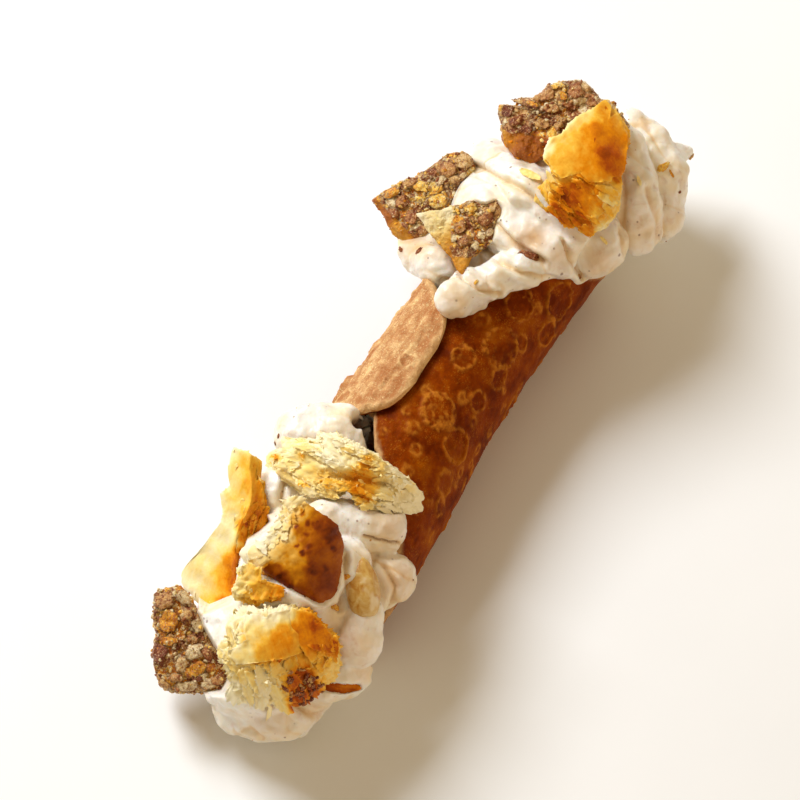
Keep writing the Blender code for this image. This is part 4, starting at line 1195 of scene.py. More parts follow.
def curl_form(a, b):
    """The leaf stands up along a wavy ridge, and turns in steeply on the side that is in shade."""
    ridge = 0.2 + 0.19 * b + 0.8 * np.sin(b * 0.42)
    beyond = np.clip(a - ridge, 0, 9)
    return -0.95 * beyond + 0.6 * np.exp(-((a - ridge) / 0.6) ** 2) + 0.25 * np.sin(b * 1.1 + a)


curl = [torn_sheet(
    FILO_CURL, -0.45 * k, 40 + k, level=-0.03, wave=0.16, wave_size=4.5,
    fray=0.04, crumple=0.14, curl=0.4, rings=30 if k < 1 else 10, grow=1.0 - 0.02 * (k % 2),
    form=curl_form, shift=(0.25 * k, -0.12 * k), thready=0.6, flaky=0.03, fringe=0.12) for k in range(4)]
curl += loose_plates(FILO_CURL, 9, 460, (3.0, 7.0), (0.9, 1.8), 0.15, curl_form, spread=0.85, level=-0.02,
                     stray=0.15, where=lambda a, b: a > 0.19 * b - 1.0)
press_into(FILO_CURL, 1.6, curl_form)
curl_stack = stack_of("filo_curl", curl)
flakes_over("filo_curl_flakes", curl_stack, 0.14, 0.6, 1.6, 10, 51, 0.04, "filo_curl", 70)

front_flake = [(-4.8, 7.1), (-1.0, 7.6), (3.4, 8.3), (4.2, 5.5), (6.2, 0.9), (5.4, 0.2), (2.4, -0.8),
               (-1.5, -1.4), (-6.5, -2.0), (-8.2, 0.2), (-5.6, 2.0), (-5.2, 4.4)]
side_flake = [(3.2, 8.6), (7.1, 7.5), (10.9, 3.4), (11.4, 0.4), (7.0, -1.5), (5.0, 1.5), (2.8, 3.0)]


def chunk_form(a, b):
    """The chunk swells in its middle, with a fold beside the front flake."""
    swell = 0.5 * np.exp(-((a + 1) ** 2 + (b - 1) ** 2) / 16)
    return swell - 0.7 * np.exp(-((a - 6.0 + 0.25 * b) / 0.8) ** 2)


chunk = [torn_sheet(FILO_CHUNK, 0.8, 60, front_flake, level=-0.08, wave=0.28, wave_size=5.0,
                    fray=0.045, crumple=0.25, curl=0.6, rings=24, form=chunk_form, thready=0.6,
                    flaky=0.0, fringe=0.2),
         torn_sheet(FILO_CHUNK, 0.3, 61, front_flake, wave=0.35, wave_size=4.0, fray=0.07, crumple=0.5,
                    curl=0.6, rings=9, grow=0.99, shift=(-0.7, -0.5), form=chunk_form, flaky=0.05)]
side_middle = (7.0, 3.2)
side_outline = [(x - side_middle[0], y - side_middle[1]) for x, y in side_flake]
for k in range(3):
    chunk.append(torn_sheet(FILO_CHUNK, 0.5 - 0.4 * k, 62 + k, side_outline, wave=0.25, wave_size=4.0,
                            fray=0.05, crumple=0.25, curl=0.3, rings=18 if k < 1 else 8, fringe=0.12,
                            thready=0.5, flaky=0.0,
                            shift=(side_middle[0] + 0.3 * k, side_middle[1] - 0.3 * k)))
for k in range(12):
    chunk.append(torn_sheet(
        FILO_CHUNK, -0.6 - 0.62 * k, 66 + k, level=-0.08, wave=0.35, wave_size=2.6,
        fray=0.08, crumple=0.4, curl=0.4, rings=20 if k < 2 else 6, grow=0.90 + 0.03 * min(k, 3),
        shift=sway(k, 0.4), form=chunk_form, fringe=0.5, flaky=0.08))
chunk += loose_plates(FILO_CHUNK, 30, 340, (3.5, 8.0), (1.4, 3.4), 0.0, chunk_form, spread=0.94, stray=0.6,
                      level=-0.08, where=lambda a, b: b < -1.0 or a < -5.0)
chunk += loose_plates(FILO_CHUNK, 8, 370, (2.5, 6.0), (1.2, 2.6), 0.3, chunk_form, spread=0.96, stray=0.4,
                      where=lambda a, b: a > 8.0 and b > -4.0)
press_into(FILO_CHUNK, 2.2, chunk_form)
chunk_stack = stack_of("filo_chunk", chunk)
flakes_over("filo_chunk_flakes", chunk_stack, 0.14, 0.8, 2.4, 20, 71, -0.02, "filo_chunk", -70)

scrap = [torn_sheet(
    FILO_SCRAP, -0.45 * k, 90 + k, wave=0.4, wave_size=1.8, fray=0.08,
    crumple=0.5, curl=0.7, sectors=120, rings=12, grow=0.94, shift=sway(k, 0.4)) for k in range(6)]
press_into(FILO_SCRAP, 1.5)
scrap_stack = stack_of("filo_scrap", scrap)
flakes_over("filo_scrap_flakes", scrap_stack, 0.4, 0.6, 1.7, 20, 81, 0.04, "filo_scrap", 60)


# The soaked slab is a corner of the baklava's bottom crust: many sheets stuck together by syrup, domed and
# glossy, brown with dark spots at one side and torn open to pale layers at the other.
SOAKED_SLAB = dict(
    centre=(-51.0, 0.2, 38.0), slope=(0.05, 0.0), bow=(-0.035, -0.020), fibres=40,
    outline=[(0.3, 10.3), (-0.8, 9.1), (-1.4, 7.2), (-3.2, 4.5), (-4.8, 2.3), (-7, 1.6), (-9.4, 1.6),
             (-9.1, -0.5), (-7.4, -1.9), (-6, -3), (-3, -5.2), (-0.8, -6.7), (1.9, -8), (3.9, -9.4),
             (6, -9.8), (7.9, -7), (8, -5.8), (8.7, -0.8), (8.7, 3.6), (7.1, 5.8), (4.3, 7.6),
             (2.3, 9.1)],
    spots=[(-5.5, 2.1, 1.8, 0.08), (-7.6, 0.6, 1.6, 0.10), (-0.9, 8.5, 1.4, 0.20),
           (-2.7, 5.8, 1.5, 0.16), (0.9, 6.7, 1.3, 0.42), (1.6, 7.4, 0.3, 0.80), (-0.9, 0.3, 1.8, 0.46),
           (-3.8, 0.6, 1.4, 0.28), (2.8, 3.9, 1.8, 0.62), (5.5, 3.9, 1.4, 0.84), (4.6, 1.2, 1.8, 0.74),
           (7.3, -1.6, 1.8, 0.72), (5.0, -4.3, 1.8, 0.82), (2.8, -5.2, 1.4, 0.72),
           (0.9, -4.4, 1.4, 0.56), (-3.6, -2.8, 0.8, 0.72), (-1.8, -5.2, 1.0, 0.82),
           (0.9, -6.9, 1.0, 0.76), (2.4, -7.6, 1.0, 0.74), (5.5, -8.9, 1.4, 0.72),
           (0.6, 4.7, 0.26, 0.95), (2.6, 5.4, 0.34, 0.92), (1.5, -0.1, 0.34, 0.95),
           (2.8, 1.2, 0.40, 0.92), (0.7, 1.2, 0.26, 0.95), (2.3, 3.6, 0.28, 0.92),
           (4.4, 5.2, 0.6, 0.94), (6.2, 2.6, 0.6, 0.92), (-0.6, -6.2, 0.4, 0.95),
           (-2.6, -4.4, 0.4, 0.92), (1.4, -7.4, 0.4, 0.94), (3.4, -8.4, 0.4, 0.9),
           (5.8, -2.6, 0.4, 0.92), (3.8, -3.4, 0.34, 0.90), (7.2, 0.6, 0.4, 0.94),
           (-1.4, 2.6, 0.8, 0.24)])


def slab_form(a, b):
    """A smooth dome that is bent up along its torn pale edge."""
    dome = 0.8 * np.exp(-((a - 3) ** 2 + (b + 1) ** 2) / 26)
    return dome + 0.35 * np.exp(-((a + 3.2 - 0.75 * b) / 1.6) ** 2)


SOAKED_STOPS = [(0.0, srgb(252, 242, 206)), (0.20, srgb(248, 220, 144)), (0.38, srgb(232, 180, 78)),
                (0.50, srgb(214, 142, 14)), (0.64, srgb(178, 98, 0)), (0.80, srgb(138, 60, 0)),
                (0.92, srgb(98, 36, 0)), (1.0, srgb(54, 18, 0))]
soaked = filo_finish("soaked", SOAKED_STOPS)
slab = [torn_sheet(
    SOAKED_SLAB, -0.45 - 0.50 * k, 110 + k, level=-0.04 * min(k, 3),
    wave=0.20 if k < 1 else 0.40, wave_size=3.2, fray=0.03, crumple=0.22 if k < 1 else 0.4,
    curl=0.2, thick=0.4, rings=34 if k < 1 else 10, grow=0.985,
    shift=(-0.16 * k + 0.3, -0.02 * k), form=slab_form, thready=0.3, flaky=0.0, fringe=0.04,
    rim=-0.02, blunt=7, droop=1.3) for k in range(9)]
slab += loose_plates(SOAKED_SLAB, 12, 400, (2.5, 5.5), (1.2, 3.0), -0.5, slab_form, spread=0.98,
                     level=-0.02, stray=0.9, where=lambda a, b: a < 0.75 * b - 4.0 and b > -3.5)
press_into(SOAKED_SLAB, 2.0, slab_form)
stack_of("soaked_slab", slab, soaked)


# The golden leaf is a flake of the baklava's glazed top: a smooth buttered sheet over a fan of broken
# layers, whose edges show as streaks. A thin strip of the same crust sticks out of the cream lower down.
CRUST_LEAF = dict(
    centre=(45.6, -6.0, 39.2), slope=(-0.20, -0.34), bow=(-0.016, -0.030), fibres=-49,
    outline=[(4, 12.5), (2.3, 11.6), (0.5, 10.2), (-1.5, 8.7), (-4.1, 5.8), (-6.1, 4.9), (-7.2, 3.2),
             (-7.2, 1.6), (-5.7, 0.2), (-6.5, -1.9), (-6.8, -3), (-9, -4.7), (-9.2, -7.2),
             (-5.9, -10.9), (-3.5, -13.1), (0.3, -15.1), (2.3, -13.6), (5.1, -11.6), (6.9, -8.7),
             (7.3, -6.1), (6.7, -3.6), (8.2, 2.8), (9.1, 4.1), (8.6, 6.7), (6.9, 9.2), (5.4, 11.3)],
    spots=[(-4.1, -0.2, 2.0, 0.44), (-6.8, 2.5, 1.1, 0.16), (-3.2, 7.1, 1.0, 0.26),
           (-2.4, 4.2, 1.6, 0.38), (1.4, 9.5, 1.2, 0.34), (4.2, 10.2, 1.3, 0.48), (6.5, 7.0, 1.5, 0.54),
           (3.2, 4.6, 1.5, 0.60), (4.7, 2.5, 1.6, 0.74), (1.4, 4.7, 1.3, 0.54), (5.4, -0.2, 1.5, 0.66),
           (7.4, 3.6, 1.3, 0.60), (3.2, -2.4, 1.2, 0.50), (0.0, 0.6, 1.8, 0.50), (0.6, -1.6, 1.2, 0.52),
           (-6.8, -4.8, 1.3, 0.48), (-8.6, -4.9, 0.7, 0.58), (-5.0, -7.6, 1.6, 0.70),
           (-2.3, -5.7, 1.4, 0.74), (-1.3, -9.4, 1.5, 0.70), (-0.4, -13.4, 1.8, 0.66),
           (2.3, -6.6, 1.2, 0.58), (3.2, -9.4, 1.3, 0.50), (4.1, -12.1, 1.0, 0.22),
           (5.4, -6.6, 1.4, 0.44), (0.5, -4.6, 1.1, 0.66), (-7.4, -7.6, 1.0, 0.40),
           (4.2, 10.1, 0.16, 1.1), (2.3, 4.5, 0.14, 1.0)])
CRUST_STRIP = dict(
    centre=(-60.2, -14.2, 15.2), slope=(-0.25, 0.10), bow=(-0.02, 0.0), fibres=-8,
    outline=[(-3.7, 1.3), (0.7, 0.7), (4, 0.6), (4.4, -0.4), (1.1, -1.2), (-1.7, -0.8), (-3.9, 0.2)],
    spots=[(-2, 0, 2, 0.72), (2, 0, 2, 0.66)])
glaze_flake = [(4.2, 12.0), (1.4, 9.7), (-0.8, 8.8), (-2.8, 6.8), (-3.7, 5.4), (-5.4, 4.8), (-6.8, 3.0),
               (-7.3, 1.2), (-6.3, 0.3), (-5.4, -1.5), (-3.9, -2.8), (-2.3, -2.3), (-1.0, -1.9),
               (0.1, -2.4), (1.4, -3.5), (3.2, -3.5), (5.3, -3.2), (5.6, -2.3), (7.0, -2.6),
               (7.8, -1.2), (8.4, 2.5), (8.6, 5.0), (7.1, 8.4), (5.6, 10.4)]


def leaf_form(a, b):
    """The glazed sheet bends down along a line from its top to its right-hand edge."""
    return -0.16 * np.clip(a - 2.5, 0, 9) ** 1.4 + 0.35 * np.exp(-((b + 0.4 * a - 4) / 1.4) ** 2)


leaf = [torn_sheet(CRUST_LEAF, 0.55, 130, glaze_flake, wave=0.22, wave_size=6.0, fray=0.025, crumple=0.25,
                   curl=0.4, rings=36, form=leaf_form, fringe=0.10, thready=0.12, flaky=0.0),
        torn_sheet(CRUST_LEAF, 0.22, 129, glaze_flake, wave=0.25, wave_size=4.0, fray=0.05, crumple=0.3,
                   curl=0.5, rings=12, form=leaf_form, grow=0.985, shift=(-0.15, -0.45), fringe=0.15,
                   flaky=0.0)]
for k in range(9):
    leaf.append(torn_sheet(
        CRUST_LEAF, -0.10 - 0.26 * k, 131 + k, level=-0.04, wave=0.22,
        wave_size=2.6, fray=0.045, crumple=0.35, curl=0.4, rings=22 if k < 4 else 8, grow=0.80 + 0.020 * k,
        shift=(1.5 - 0.19 * k, 1.5 - 0.19 * k), form=leaf_form, flaky=0.05, fringe=0.16))
leaf += loose_plates(CRUST_LEAF, 18, 430, (3.0, 7.0), (1.0, 2.2), 0.1, leaf_form, level=-0.08,
                     where=lambda a, b: b < -3.5)
press_into(CRUST_LEAF, 1.6, leaf_form)
leaf_stack = stack_of("crust_leaf", leaf)
flakes_over("crust_leaf_flakes", leaf_stack, 0.08, 0.5, 1.4, 10, 141, 0.04, "crust_leaf",
            -49)
strip = [torn_sheet(
    CRUST_STRIP, -0.4 * k, 150 + k, wave=0.15, wave_size=2.0, fray=0.03, crumple=0.15, curl=0.1,
    sectors=90, rings=8, grow=0.96, fringe=0.2) for k in range(3)]
press_into(CRUST_STRIP, 0.8)
stack_of("crust_strip", strip)


# The nut pieces are broken corners of the filling: walnuts and pistachios chopped small and set in syrup,
# with the pastry base still on some sides. Chopped bits cover a dark paste of the same nuts.
# A bit of nut is (mm across, mm up, mm long, mm wide, degrees, colour from 0 to 1)
NUT_LEFT = dict(
    centre=(32.9, 19.1, 26.0), slope=(0.25, -0.10), bow=(-0.010, -0.010), depth=9.0, fibres=30,
    outline=[(-10.8, -1), (-8.6, 0.8), (-5, 2.6), (-2.1, 3.7), (0.5, 5.5), (3.4, 7.7), (5.3, 8.3),
             (7.3, 7.9), (8.9, 5.5), (8.6, 4.3), (6.2, 2.2), (4.9, -0.5), (4, -3), (1.4, -6.2),
             (-0.6, -8), (-3.2, -8.6), (-5.2, -9), (-6.6, -7.8), (-8.3, -5)],
    spots=[(-9.5, -1.0, 1.6, 0.60), (-8.6, -4.0, 1.6, 0.66), (-6.0, -7.6, 2.0, 0.46),
           (-2.0, -8.2, 2.0, 0.5), (-6, 1.6, 2.0, 0.58)],
    bits=[(1.6, -1.2, 3.6, 2.6, 12, 0.82), (-1.4, 1.6, 3.4, 2.0, -6, 0.82),
          (0.8, 1.4, 2.4, 1.7, 30, 0.82), (6.6, 6.2, 3.6, 3.0, 20, 0.48),
          (3.6, 4.6, 3.4, 2.6, 60, 0.33), (4.8, 2.6, 2.2, 1.6, 0, 0.45),
          (-3.6, 2.2, 2.8, 1.4, 20, 0.36), (-6.8, 0.4, 3.2, 1.8, 25, 0.93),
          (-4.8, -1.4, 2.6, 2.2, 40, 0.28), (-6.6, -3.4, 2.4, 2.0, 0, 0.20),
          (-3.2, -4.2, 2.8, 2.2, 70, 0.25), (-5.0, -6.0, 2.2, 1.8, 10, 0.30),
          (2.2, 2.6, 2.2, 1.4, 35, 0.60), (-1.2, -6.4, 2.4, 1.6, 20, 0.33),
          (-9.6, -1.0, 2.2, 1.4, 30, 0.93)])
NUT_SMALL = dict(
    centre=(26.1, 7.3, 32.0), slope=(0.10, -0.05), bow=(-0.012, -0.006), depth=5.0, fibres=-20,
    outline=[(-9.9, 3.8), (-5.5, 4.5), (-0.9, 5.6), (0.5, 6.4), (3.6, 5.3), (5.5, 6.2), (6.6, 4.7),
             (6.4, 3.3), (5.3, 1.8), (5.1, -0.4), (4.4, -2), (2.4, -3.7), (0.9, -4.8), (0, -6.8),
             (-0.9, -8.4), (-2, -7), (-2.9, -5), (-4.4, -3.3), (-6.2, -1.1), (-7.7, 0.9)],
    spots=[(-9.0, 2.8, 1.4, 0.02), (-5.8, 1.8, 2.4, 0.16), (-4.4, 3.6, 1.4, 0.08),
           (-4.6, -1.4, 1.6, 0.42), (-2.4, -3.6, 1.8, 0.54), (-0.8, -6.6, 1.6, 0.46), (0, 0, 2, 0.5)],
    bits=[(3.4, 2.6, 3.0, 2.4, 30, 0.23), (4.8, 4.8, 2.2, 1.5, 60, 0.47),
          (0.6, 4.6, 2.6, 1.6, 10, 0.82), (-1.2, 1.0, 2.2, 1.8, 40, 0.31),
          (2.6, -0.4, 1.8, 1.5, 0, 0.70), (1.6, -2.2, 1.6, 1.2, 60, 0.70),
          (-0.6, -1.6, 2.0, 1.6, 0, 0.29), (4.2, 0.2, 1.8, 1.4, 20, 0.60),
          (-5.0, -0.6, 1.4, 0.9, -30, 0.28), (-2.4, 4.2, 2.2, 1.2, 8, 0.82)])
NUT_TOP = dict(
    centre=(53.1, 3.5, 37.0), slope=(0.0, -0.25), bow=(-0.012, -0.015), depth=9.0, fibres=10,
    outline=[(-11, 2.5), (-11.3, 0.7), (-10.6, -2.4), (-9.9, -5), (-8.4, -7.7), (-5.3, -9.2),
             (-2.2, -8.1), (3.3, -9), (9.7, -9), (13.8, -6), (13.7, -1.5), (12.3, 0.5), (11, 2.7),
             (8.4, 3.8), (7, 5.1), (5.3, 6.7), (3.5, 7.3), (0.9, 6.9), (-1.8, 6), (-2.9, 4.7),
             (-4.6, 3.8), (-5.5, 2), (-6.6, 2.2), (-8.8, 3.3)],
    spots=[(-8.0, -4.5, 2.0, 0.62), (-5.6, -7.0, 2.2, 0.66), (-3.0, -6.4, 2.0, 0.70),
           (-11, 0.5, 0.8, 0.3), (-10.4, -3.4, 1.0, 0.5), (1.0, -6.0, 2.5, 0.66), (12, -2, 2.2, 0.52),
           (10.5, 2.5, 1.4, 0.4)],
    bits=[(-9.2, 1.2, 2.2, 2.0, 60, 0.04), (-7.6, -0.6, 2.6, 1.8, 20, 0.12),
          (-4.6, 2.6, 2.4, 1.0, -18, 0.93), (-2.2, 4.6, 3.6, 3.0, 20, 0.33),
          (0.2, 6.0, 2.6, 1.6, 0, 0.82), (1.2, 3.8, 2.0, 1.4, 70, 0.93), (3.8, 5.0, 3.6, 2.8, 30, 0.25),
          (6.4, 3.2, 3.2, 2.2, -30, 0.29), (2.4, 2.0, 2.6, 1.4, -10, 0.20),
          (5.4, 5.6, 2.2, 1.6, -30, 0.49), (-1.0, 1.6, 2.8, 1.8, 10, 0.36),
          (-5.8, -2.4, 2.6, 1.8, 0, 0.12), (-2.8, -1.2, 3.0, 1.8, 10, 0.39),
          (8.2, 2.6, 2.4, 1.6, -40, 0.51), (10.4, 1.6, 2.6, 1.6, -50, 0.54),
          (0.6, -1.2, 2.6, 1.6, 30, 0.43), (4.0, 3.0, 3.4, 1.0, 8, 0.60)])
NUT_END = dict(
    centre=(-67.4, 14.2, 17.5), slope=(0.10, 0.05), bow=(-0.012, -0.008), depth=10.0, fibres=60,
    outline=[(-5.6, 9.4), (-4.7, 10.5), (-2.5, 11), (-0.4, 11.6), (2.1, 8.1), (3.9, 3.5), (6.1, -0.2),
             (8.3, -3.3), (8.9, -6.6), (7.4, -8.8), (3.8, -9.1), (1.2, -9.3), (-2.3, -9.1),
             (-4.5, -7.8), (-5.4, -4.5), (-5.8, -2), (-5.2, 1.9), (-5.6, 4.8)],
    spots=[(0, 0, 9, 0.62)],
    bits=[(-2.6, 4.2, 4.0, 3.4, 60, 0.93), (-3.4, 8.0, 3.6, 3.0, 20, 0.33),
          (0.4, 8.6, 3.0, 2.4, 0, 0.57), (-4.4, -1.6, 3.6, 3.0, 80, 0.10),
          (-2.4, 0.8, 3.4, 1.6, 0, 0.93), (2.2, -1.2, 4.0, 2.6, 20, 0.60),
          (-0.2, -3.6, 2.8, 2.2, 70, 0.51), (2.4, -4.4, 4.4, 2.2, 30, 0.93),
          (0.6, -7.6, 4.2, 2.0, 6, 0.60), (2.6, -6.2, 2.0, 1.2, 0, 0.08),
          (4.6, -7.2, 2.6, 1.8, 20, 0.60), (-3.6, -7.4, 2.6, 2.0, -40, 0.44),
          (2.8, 3.6, 2.6, 2.2, -60, 0.60), (0.6, 5.4, 2.4, 1.8, 20, 0.39),
          (6.4, -6.4, 2.6, 2.0, 10, 0.31), (4.4, -1.6, 2.4, 1.8, -50, 0.20),
          (-1.0, -6.0, 2.4, 1.6, 0, 0.35), (1.8, 1.0, 2.0, 1.6, 0, 0.30)])
CHIP_STOPS = [(0.0, srgb(92, 34, 12)), (0.14, srgb(152, 80, 34)), (0.30, srgb(198, 138, 82)),
              (0.45, srgb(222, 176, 106)), (0.58, srgb(232, 204, 154)), (0.70, srgb(250, 236, 196)),
              (0.82, srgb(255, 212, 84)), (0.92, srgb(236, 154, 24)), (1.0, srgb(176, 88, 14))]
WHOLE_SHADES = [0.14, 0.34, 0.46, 0.56, 0.62, 0.80, 0.84, 0.88, 0.92, 1.0]
CRUMB_SHADES = [0.08, 0.14, 0.30, 0.46, 0.54, 0.60, 0.66, 0.72, 0.80, 0.82, 0.86, 0.90, 0.96]
PASTE_SHADES = [0.10, 0.16, 0.22, 0.30, 0.38, 1.0, 0.97, 0.94]
GAP_SYRUP_AND_SHADE_BROWN = srgb(120, 56, 12)
SYRUP_BROWN = srgb(122, 50, 16)
CRUMB_PALE = srgb(244, 222, 172)
LARGE_BIT = 1.9
SMALL_BIT = 0.75
# A bit that shows has rounded corners and lies in this many mm of the face
SQUARENESS = 2.6
FACE_DEPTH = 2.0
BODY_SIDE_ROWS = 22
BODY_BACK_ROWS = 6


def chopped(places, size, seed):
    """Bits packed side by side: each place's bit, how many mm inside it the place is, and their count."""
    draw = np.random.default_rng(seed)
    low, high = places.min(0) - size, places.max(0) + size
    count = int(np.prod((high - low) / size))
    middles = kdtree.KDTree(count)
    for number, middle in enumerate(draw.uniform(low, high, (count, 3))):
        middles.insert(middle, number)
    middles.balance()
    own, inside = np.empty(len(places), int), np.empty(len(places))
    for number, place in enumerate(places):
        nearest, second = middles.find_n(place, 2)
        own[number], inside[number] = nearest[1], (second[2] - nearest[2]) / 2
    return own, inside, count


def nut_relief(spec, seed, places):
    """How far chopped bits of nut stand out at each place, each place's shade, and where the gaps between
    bits are painted dark with syrup and shade.
    """
    draw = np.random.default_rng(seed)
    # Large bits are whole nut or sticky paste, and the rest of each is crumbs, with gaps between them that
    # are painted dark as syrup and as painted shade
    warped = places + 0.35 * np.stack([cloud(places, 1.1, 2, seed + k) for k in (1, 2, 3)], 1)
    large, large_in, large_count = chopped(warped, LARGE_BIT, seed)
    small, small_in, small_count = chopped(warped, SMALL_BIT, seed + 1)
    kind = draw.random(large_count)[large]
    whole, sticky = (kind < 0.24) & (large_in > 0.06), kind > 0.54
    fine = cloud(places, 0.7, 3, seed + 8)
    whole_shade = draw.choice(WHOLE_SHADES, large_count)[large]
    shade = np.where(whole, whole_shade, draw.choice(CRUMB_SHADES, small_count)[small])
    shade = np.where(sticky, draw.choice(PASTE_SHADES, large_count)[large], shade)
    whole_height = draw.uniform(-0.2, 0.3, large_count)[large] + 0.45 * smooth_step(0, 0.7, large_in)
    crumb_height = draw.uniform(-0.26, 0.22, small_count)[small] + 0.24 * smooth_step(0, 0.25, small_in)
    height = np.where(whole, whole_height, crumb_height)
    height = np.where(sticky, -0.12 + 0.24 * fine, height + 0.08 * fine)
    shade = np.where(sticky & (fine > 0.25), draw.choice(CRUMB_SHADES, small_count)[small], shade)
    gap = 1 - smooth_step(0.0, 0.14, np.where(whole, large_in, small_in))
    gap = np.where(sticky, 0.0, gap)
    # The bits that the front shows have rounded corners and stand out most
    a, b, lift = warped.T
    for across, up, long, wide, degrees, tint in spec["bits"]:
        lean = math.radians(degrees)
        x = ((a - across) * math.cos(lean) + (b - up) * math.sin(lean)) / (long / 2)
        y = ((b - up) * math.cos(lean) - (a - across) * math.sin(lean)) / (wide / 2)
        far = (np.abs(x) ** SQUARENESS + np.abs(y) ** SQUARENESS) ** (1 / SQUARENESS)
        on_face = lift > -FACE_DEPTH
        on_bit = (far < 1) & on_face
        shade = np.where(on_bit, tint, shade)
        height = np.where(on_bit, 0.30 + 0.20 * wide * np.sqrt(np.clip(1 - far ** 2, 0, 1)), height)
        # A dark ring of syrup and painted shade is drawn round each bit where it meets the paste
        gap = np.where((far < 1.14) & on_face, np.exp(-((far - 1) / 0.10) ** 2), gap)
    return height, shade, gap


def broken_body(spec, seed, nutty, crag, sectors=300, rings=60):
    """A solid broken piece: a craggy face and sides, with how toasted and how nutty each point is."""
    angles = np.arange(sectors) * math.tau / sectors
    teeth = np.array([noise.fractal(p, 0.8, 2.0, 3) for p in on_circle(angles, 5, seed * 2.3)])
    reach = reach_at(spec["outline"], angles) * (0.95 + 0.03 * teeth)
    # Rings of points run over the face, down the sides and back in under the piece
    a, b, lift = [np.zeros(1)], [np.zeros(1)], [np.zeros(1)]
    for share in np.linspace(0, 1, rings + 1)[1:] ** 0.8:
        a.append(share * reach * np.cos(angles))
        b.append(share * reach * np.sin(angles))
        lift.append(np.full(sectors, -0.10 * spec["depth"] * share ** 9))
    for row in range(1, BODY_SIDE_ROWS + 1):
        deep = row / BODY_SIDE_ROWS
        a.append((1.0 - 0.03 * deep) * reach * np.cos(angles))
        b.append((1.0 - 0.03 * deep) * reach * np.sin(angles))
        lift.append(np.full(sectors, -spec["depth"] * (0.10 + 0.85 * deep)))
    for row in range(BODY_BACK_ROWS - 1, -1, -1):
        share = 0.95 * row / BODY_BACK_ROWS
        a.append(share * reach * np.cos(angles))
        b.append(share * reach * np.sin(angles))
        lift.append(np.full(sectors, -spec["depth"]))
    a, b, lift = np.concatenate(a), np.concatenate(b), np.concatenate(lift)
    flat = np.stack([a, b, lift], 1)
    coarse = cloud(flat, 3.0, 3, seed=seed)
    nutty_here = np.clip(nutty(a, b, lift) + 0.4 * coarse, 0, 1)
    height, shade, gap = nut_relief(spec, seed, flat)
    smooth = 0.25 * cloud(flat, 1.4, 3, seed=seed + 5)
    rough = crag * coarse + nutty_here * height + (1 - nutty_here) * smooth
    # On the front the bits stand out towards the viewer, and on the sides they stand out sideways
    front = smooth_step(-0.35 * spec["depth"], -0.08 * spec["depth"], lift)
    outward = 1 + 0.5 * (1 - front) * rough / np.maximum(np.hypot(a, b), 2.0)
    points = face_points(spec, a * outward, b * outward, lift + front * rough)
    toast = level_at(spec, a, b) + 0.08 * coarse
    faces = [(0, 1 + s, 1 + (s + 1) % sectors) for s in range(sectors)]
    loops = (len(points) - 1) // sectors
    for loop in range(loops - 1):
        near, far = 1 + loop * sectors, 1 + (loop + 1) * sectors
        for s in range(sectors):
            t = (s + 1) % sectors
            faces.append((near + s, far + s, far + t, near + t))
    return points, faces, {"toast": toast, "nutty": nutty_here, "shade": shade, "gap": gap,
                           "flaky": (1 - nutty_here) * (0.2 + 0.8 * front)}


def nut_colour(finish, shade, lump, crumb):
    """The colour of chopped nut: its own shade, with syrupy hollows and pale crumbs on it."""
    golden = shade.rise(0.50, 0.78)
    colour = finish.ramp(shade + (lump - 0.5) * 0.50 + (crumb - 0.5) * 0.60, CHIP_STOPS)
    colour = finish.field.mix((1 - lump).rise(0.50, 0.62) * (0.70 - golden * 0.55), colour, SYRUP_BROWN)
    return finish.field.mix(crumb.rise(0.56, 0.66) * 0.5, colour, CRUMB_PALE)


def nut_paste():
    """Chopped nuts in sticky syrup where it is nutty, and pastry where it is not."""
    finish = Finish("nut_paste")
    mix = finish.field.mix
    lump = finish.grain(0.9, 4.0, 0.7)
    crumb = finish.grain(0.30, 3.0, 0.7)
    baked = finish.painted("toast") + (lump - 0.5) * 0.24 + (crumb - 0.5) * 0.12
    pastry = finish.ramp(baked, SOAKED_STOPS)
    nut = nut_colour(finish, finish.painted("shade"), lump, crumb)
    # Dark syrup and painted shade in the gaps between bits
    nut = mix(finish.painted("gap") * 0.8, nut, GAP_SYRUP_AND_SHADE_BROWN)
    colour = mix(finish.painted("nutty").rise(0.35, 0.65), pastry, nut)
    return finish.shader(colour, lump + crumb * 0.8, 0.36, Roughness=0.24 + crumb * 0.28,
                         Specular_IOR_Level=0.42, Subsurface_Weight=0.05,
                         Subsurface_Radius=(1.0, 0.5, 0.15), Subsurface_Scale=0.0006)


def chip_finish():
    """Loose bits of chopped nut, each with its own colour: brown skin, yellow kernel or pale crumb."""
    finish = Finish("nut_chips")
    lump = finish.grain(0.8, 4.0, 0.7)
    crumb = finish.grain(0.32, 3.0, 0.7)
    colour = nut_colour(finish, finish.painted("shade"), lump, crumb)
    return finish.shader(colour, lump + crumb * 0.8, 0.34, Roughness=0.28 + lump * 0.28,
                         Specular_IOR_Level=0.35, Subsurface_Weight=0.03,
                         Subsurface_Radius=(1.0, 0.6, 0.3), Subsurface_Scale=0.0004)


paste_finish = nut_paste()
chips_finish = chip_finish()


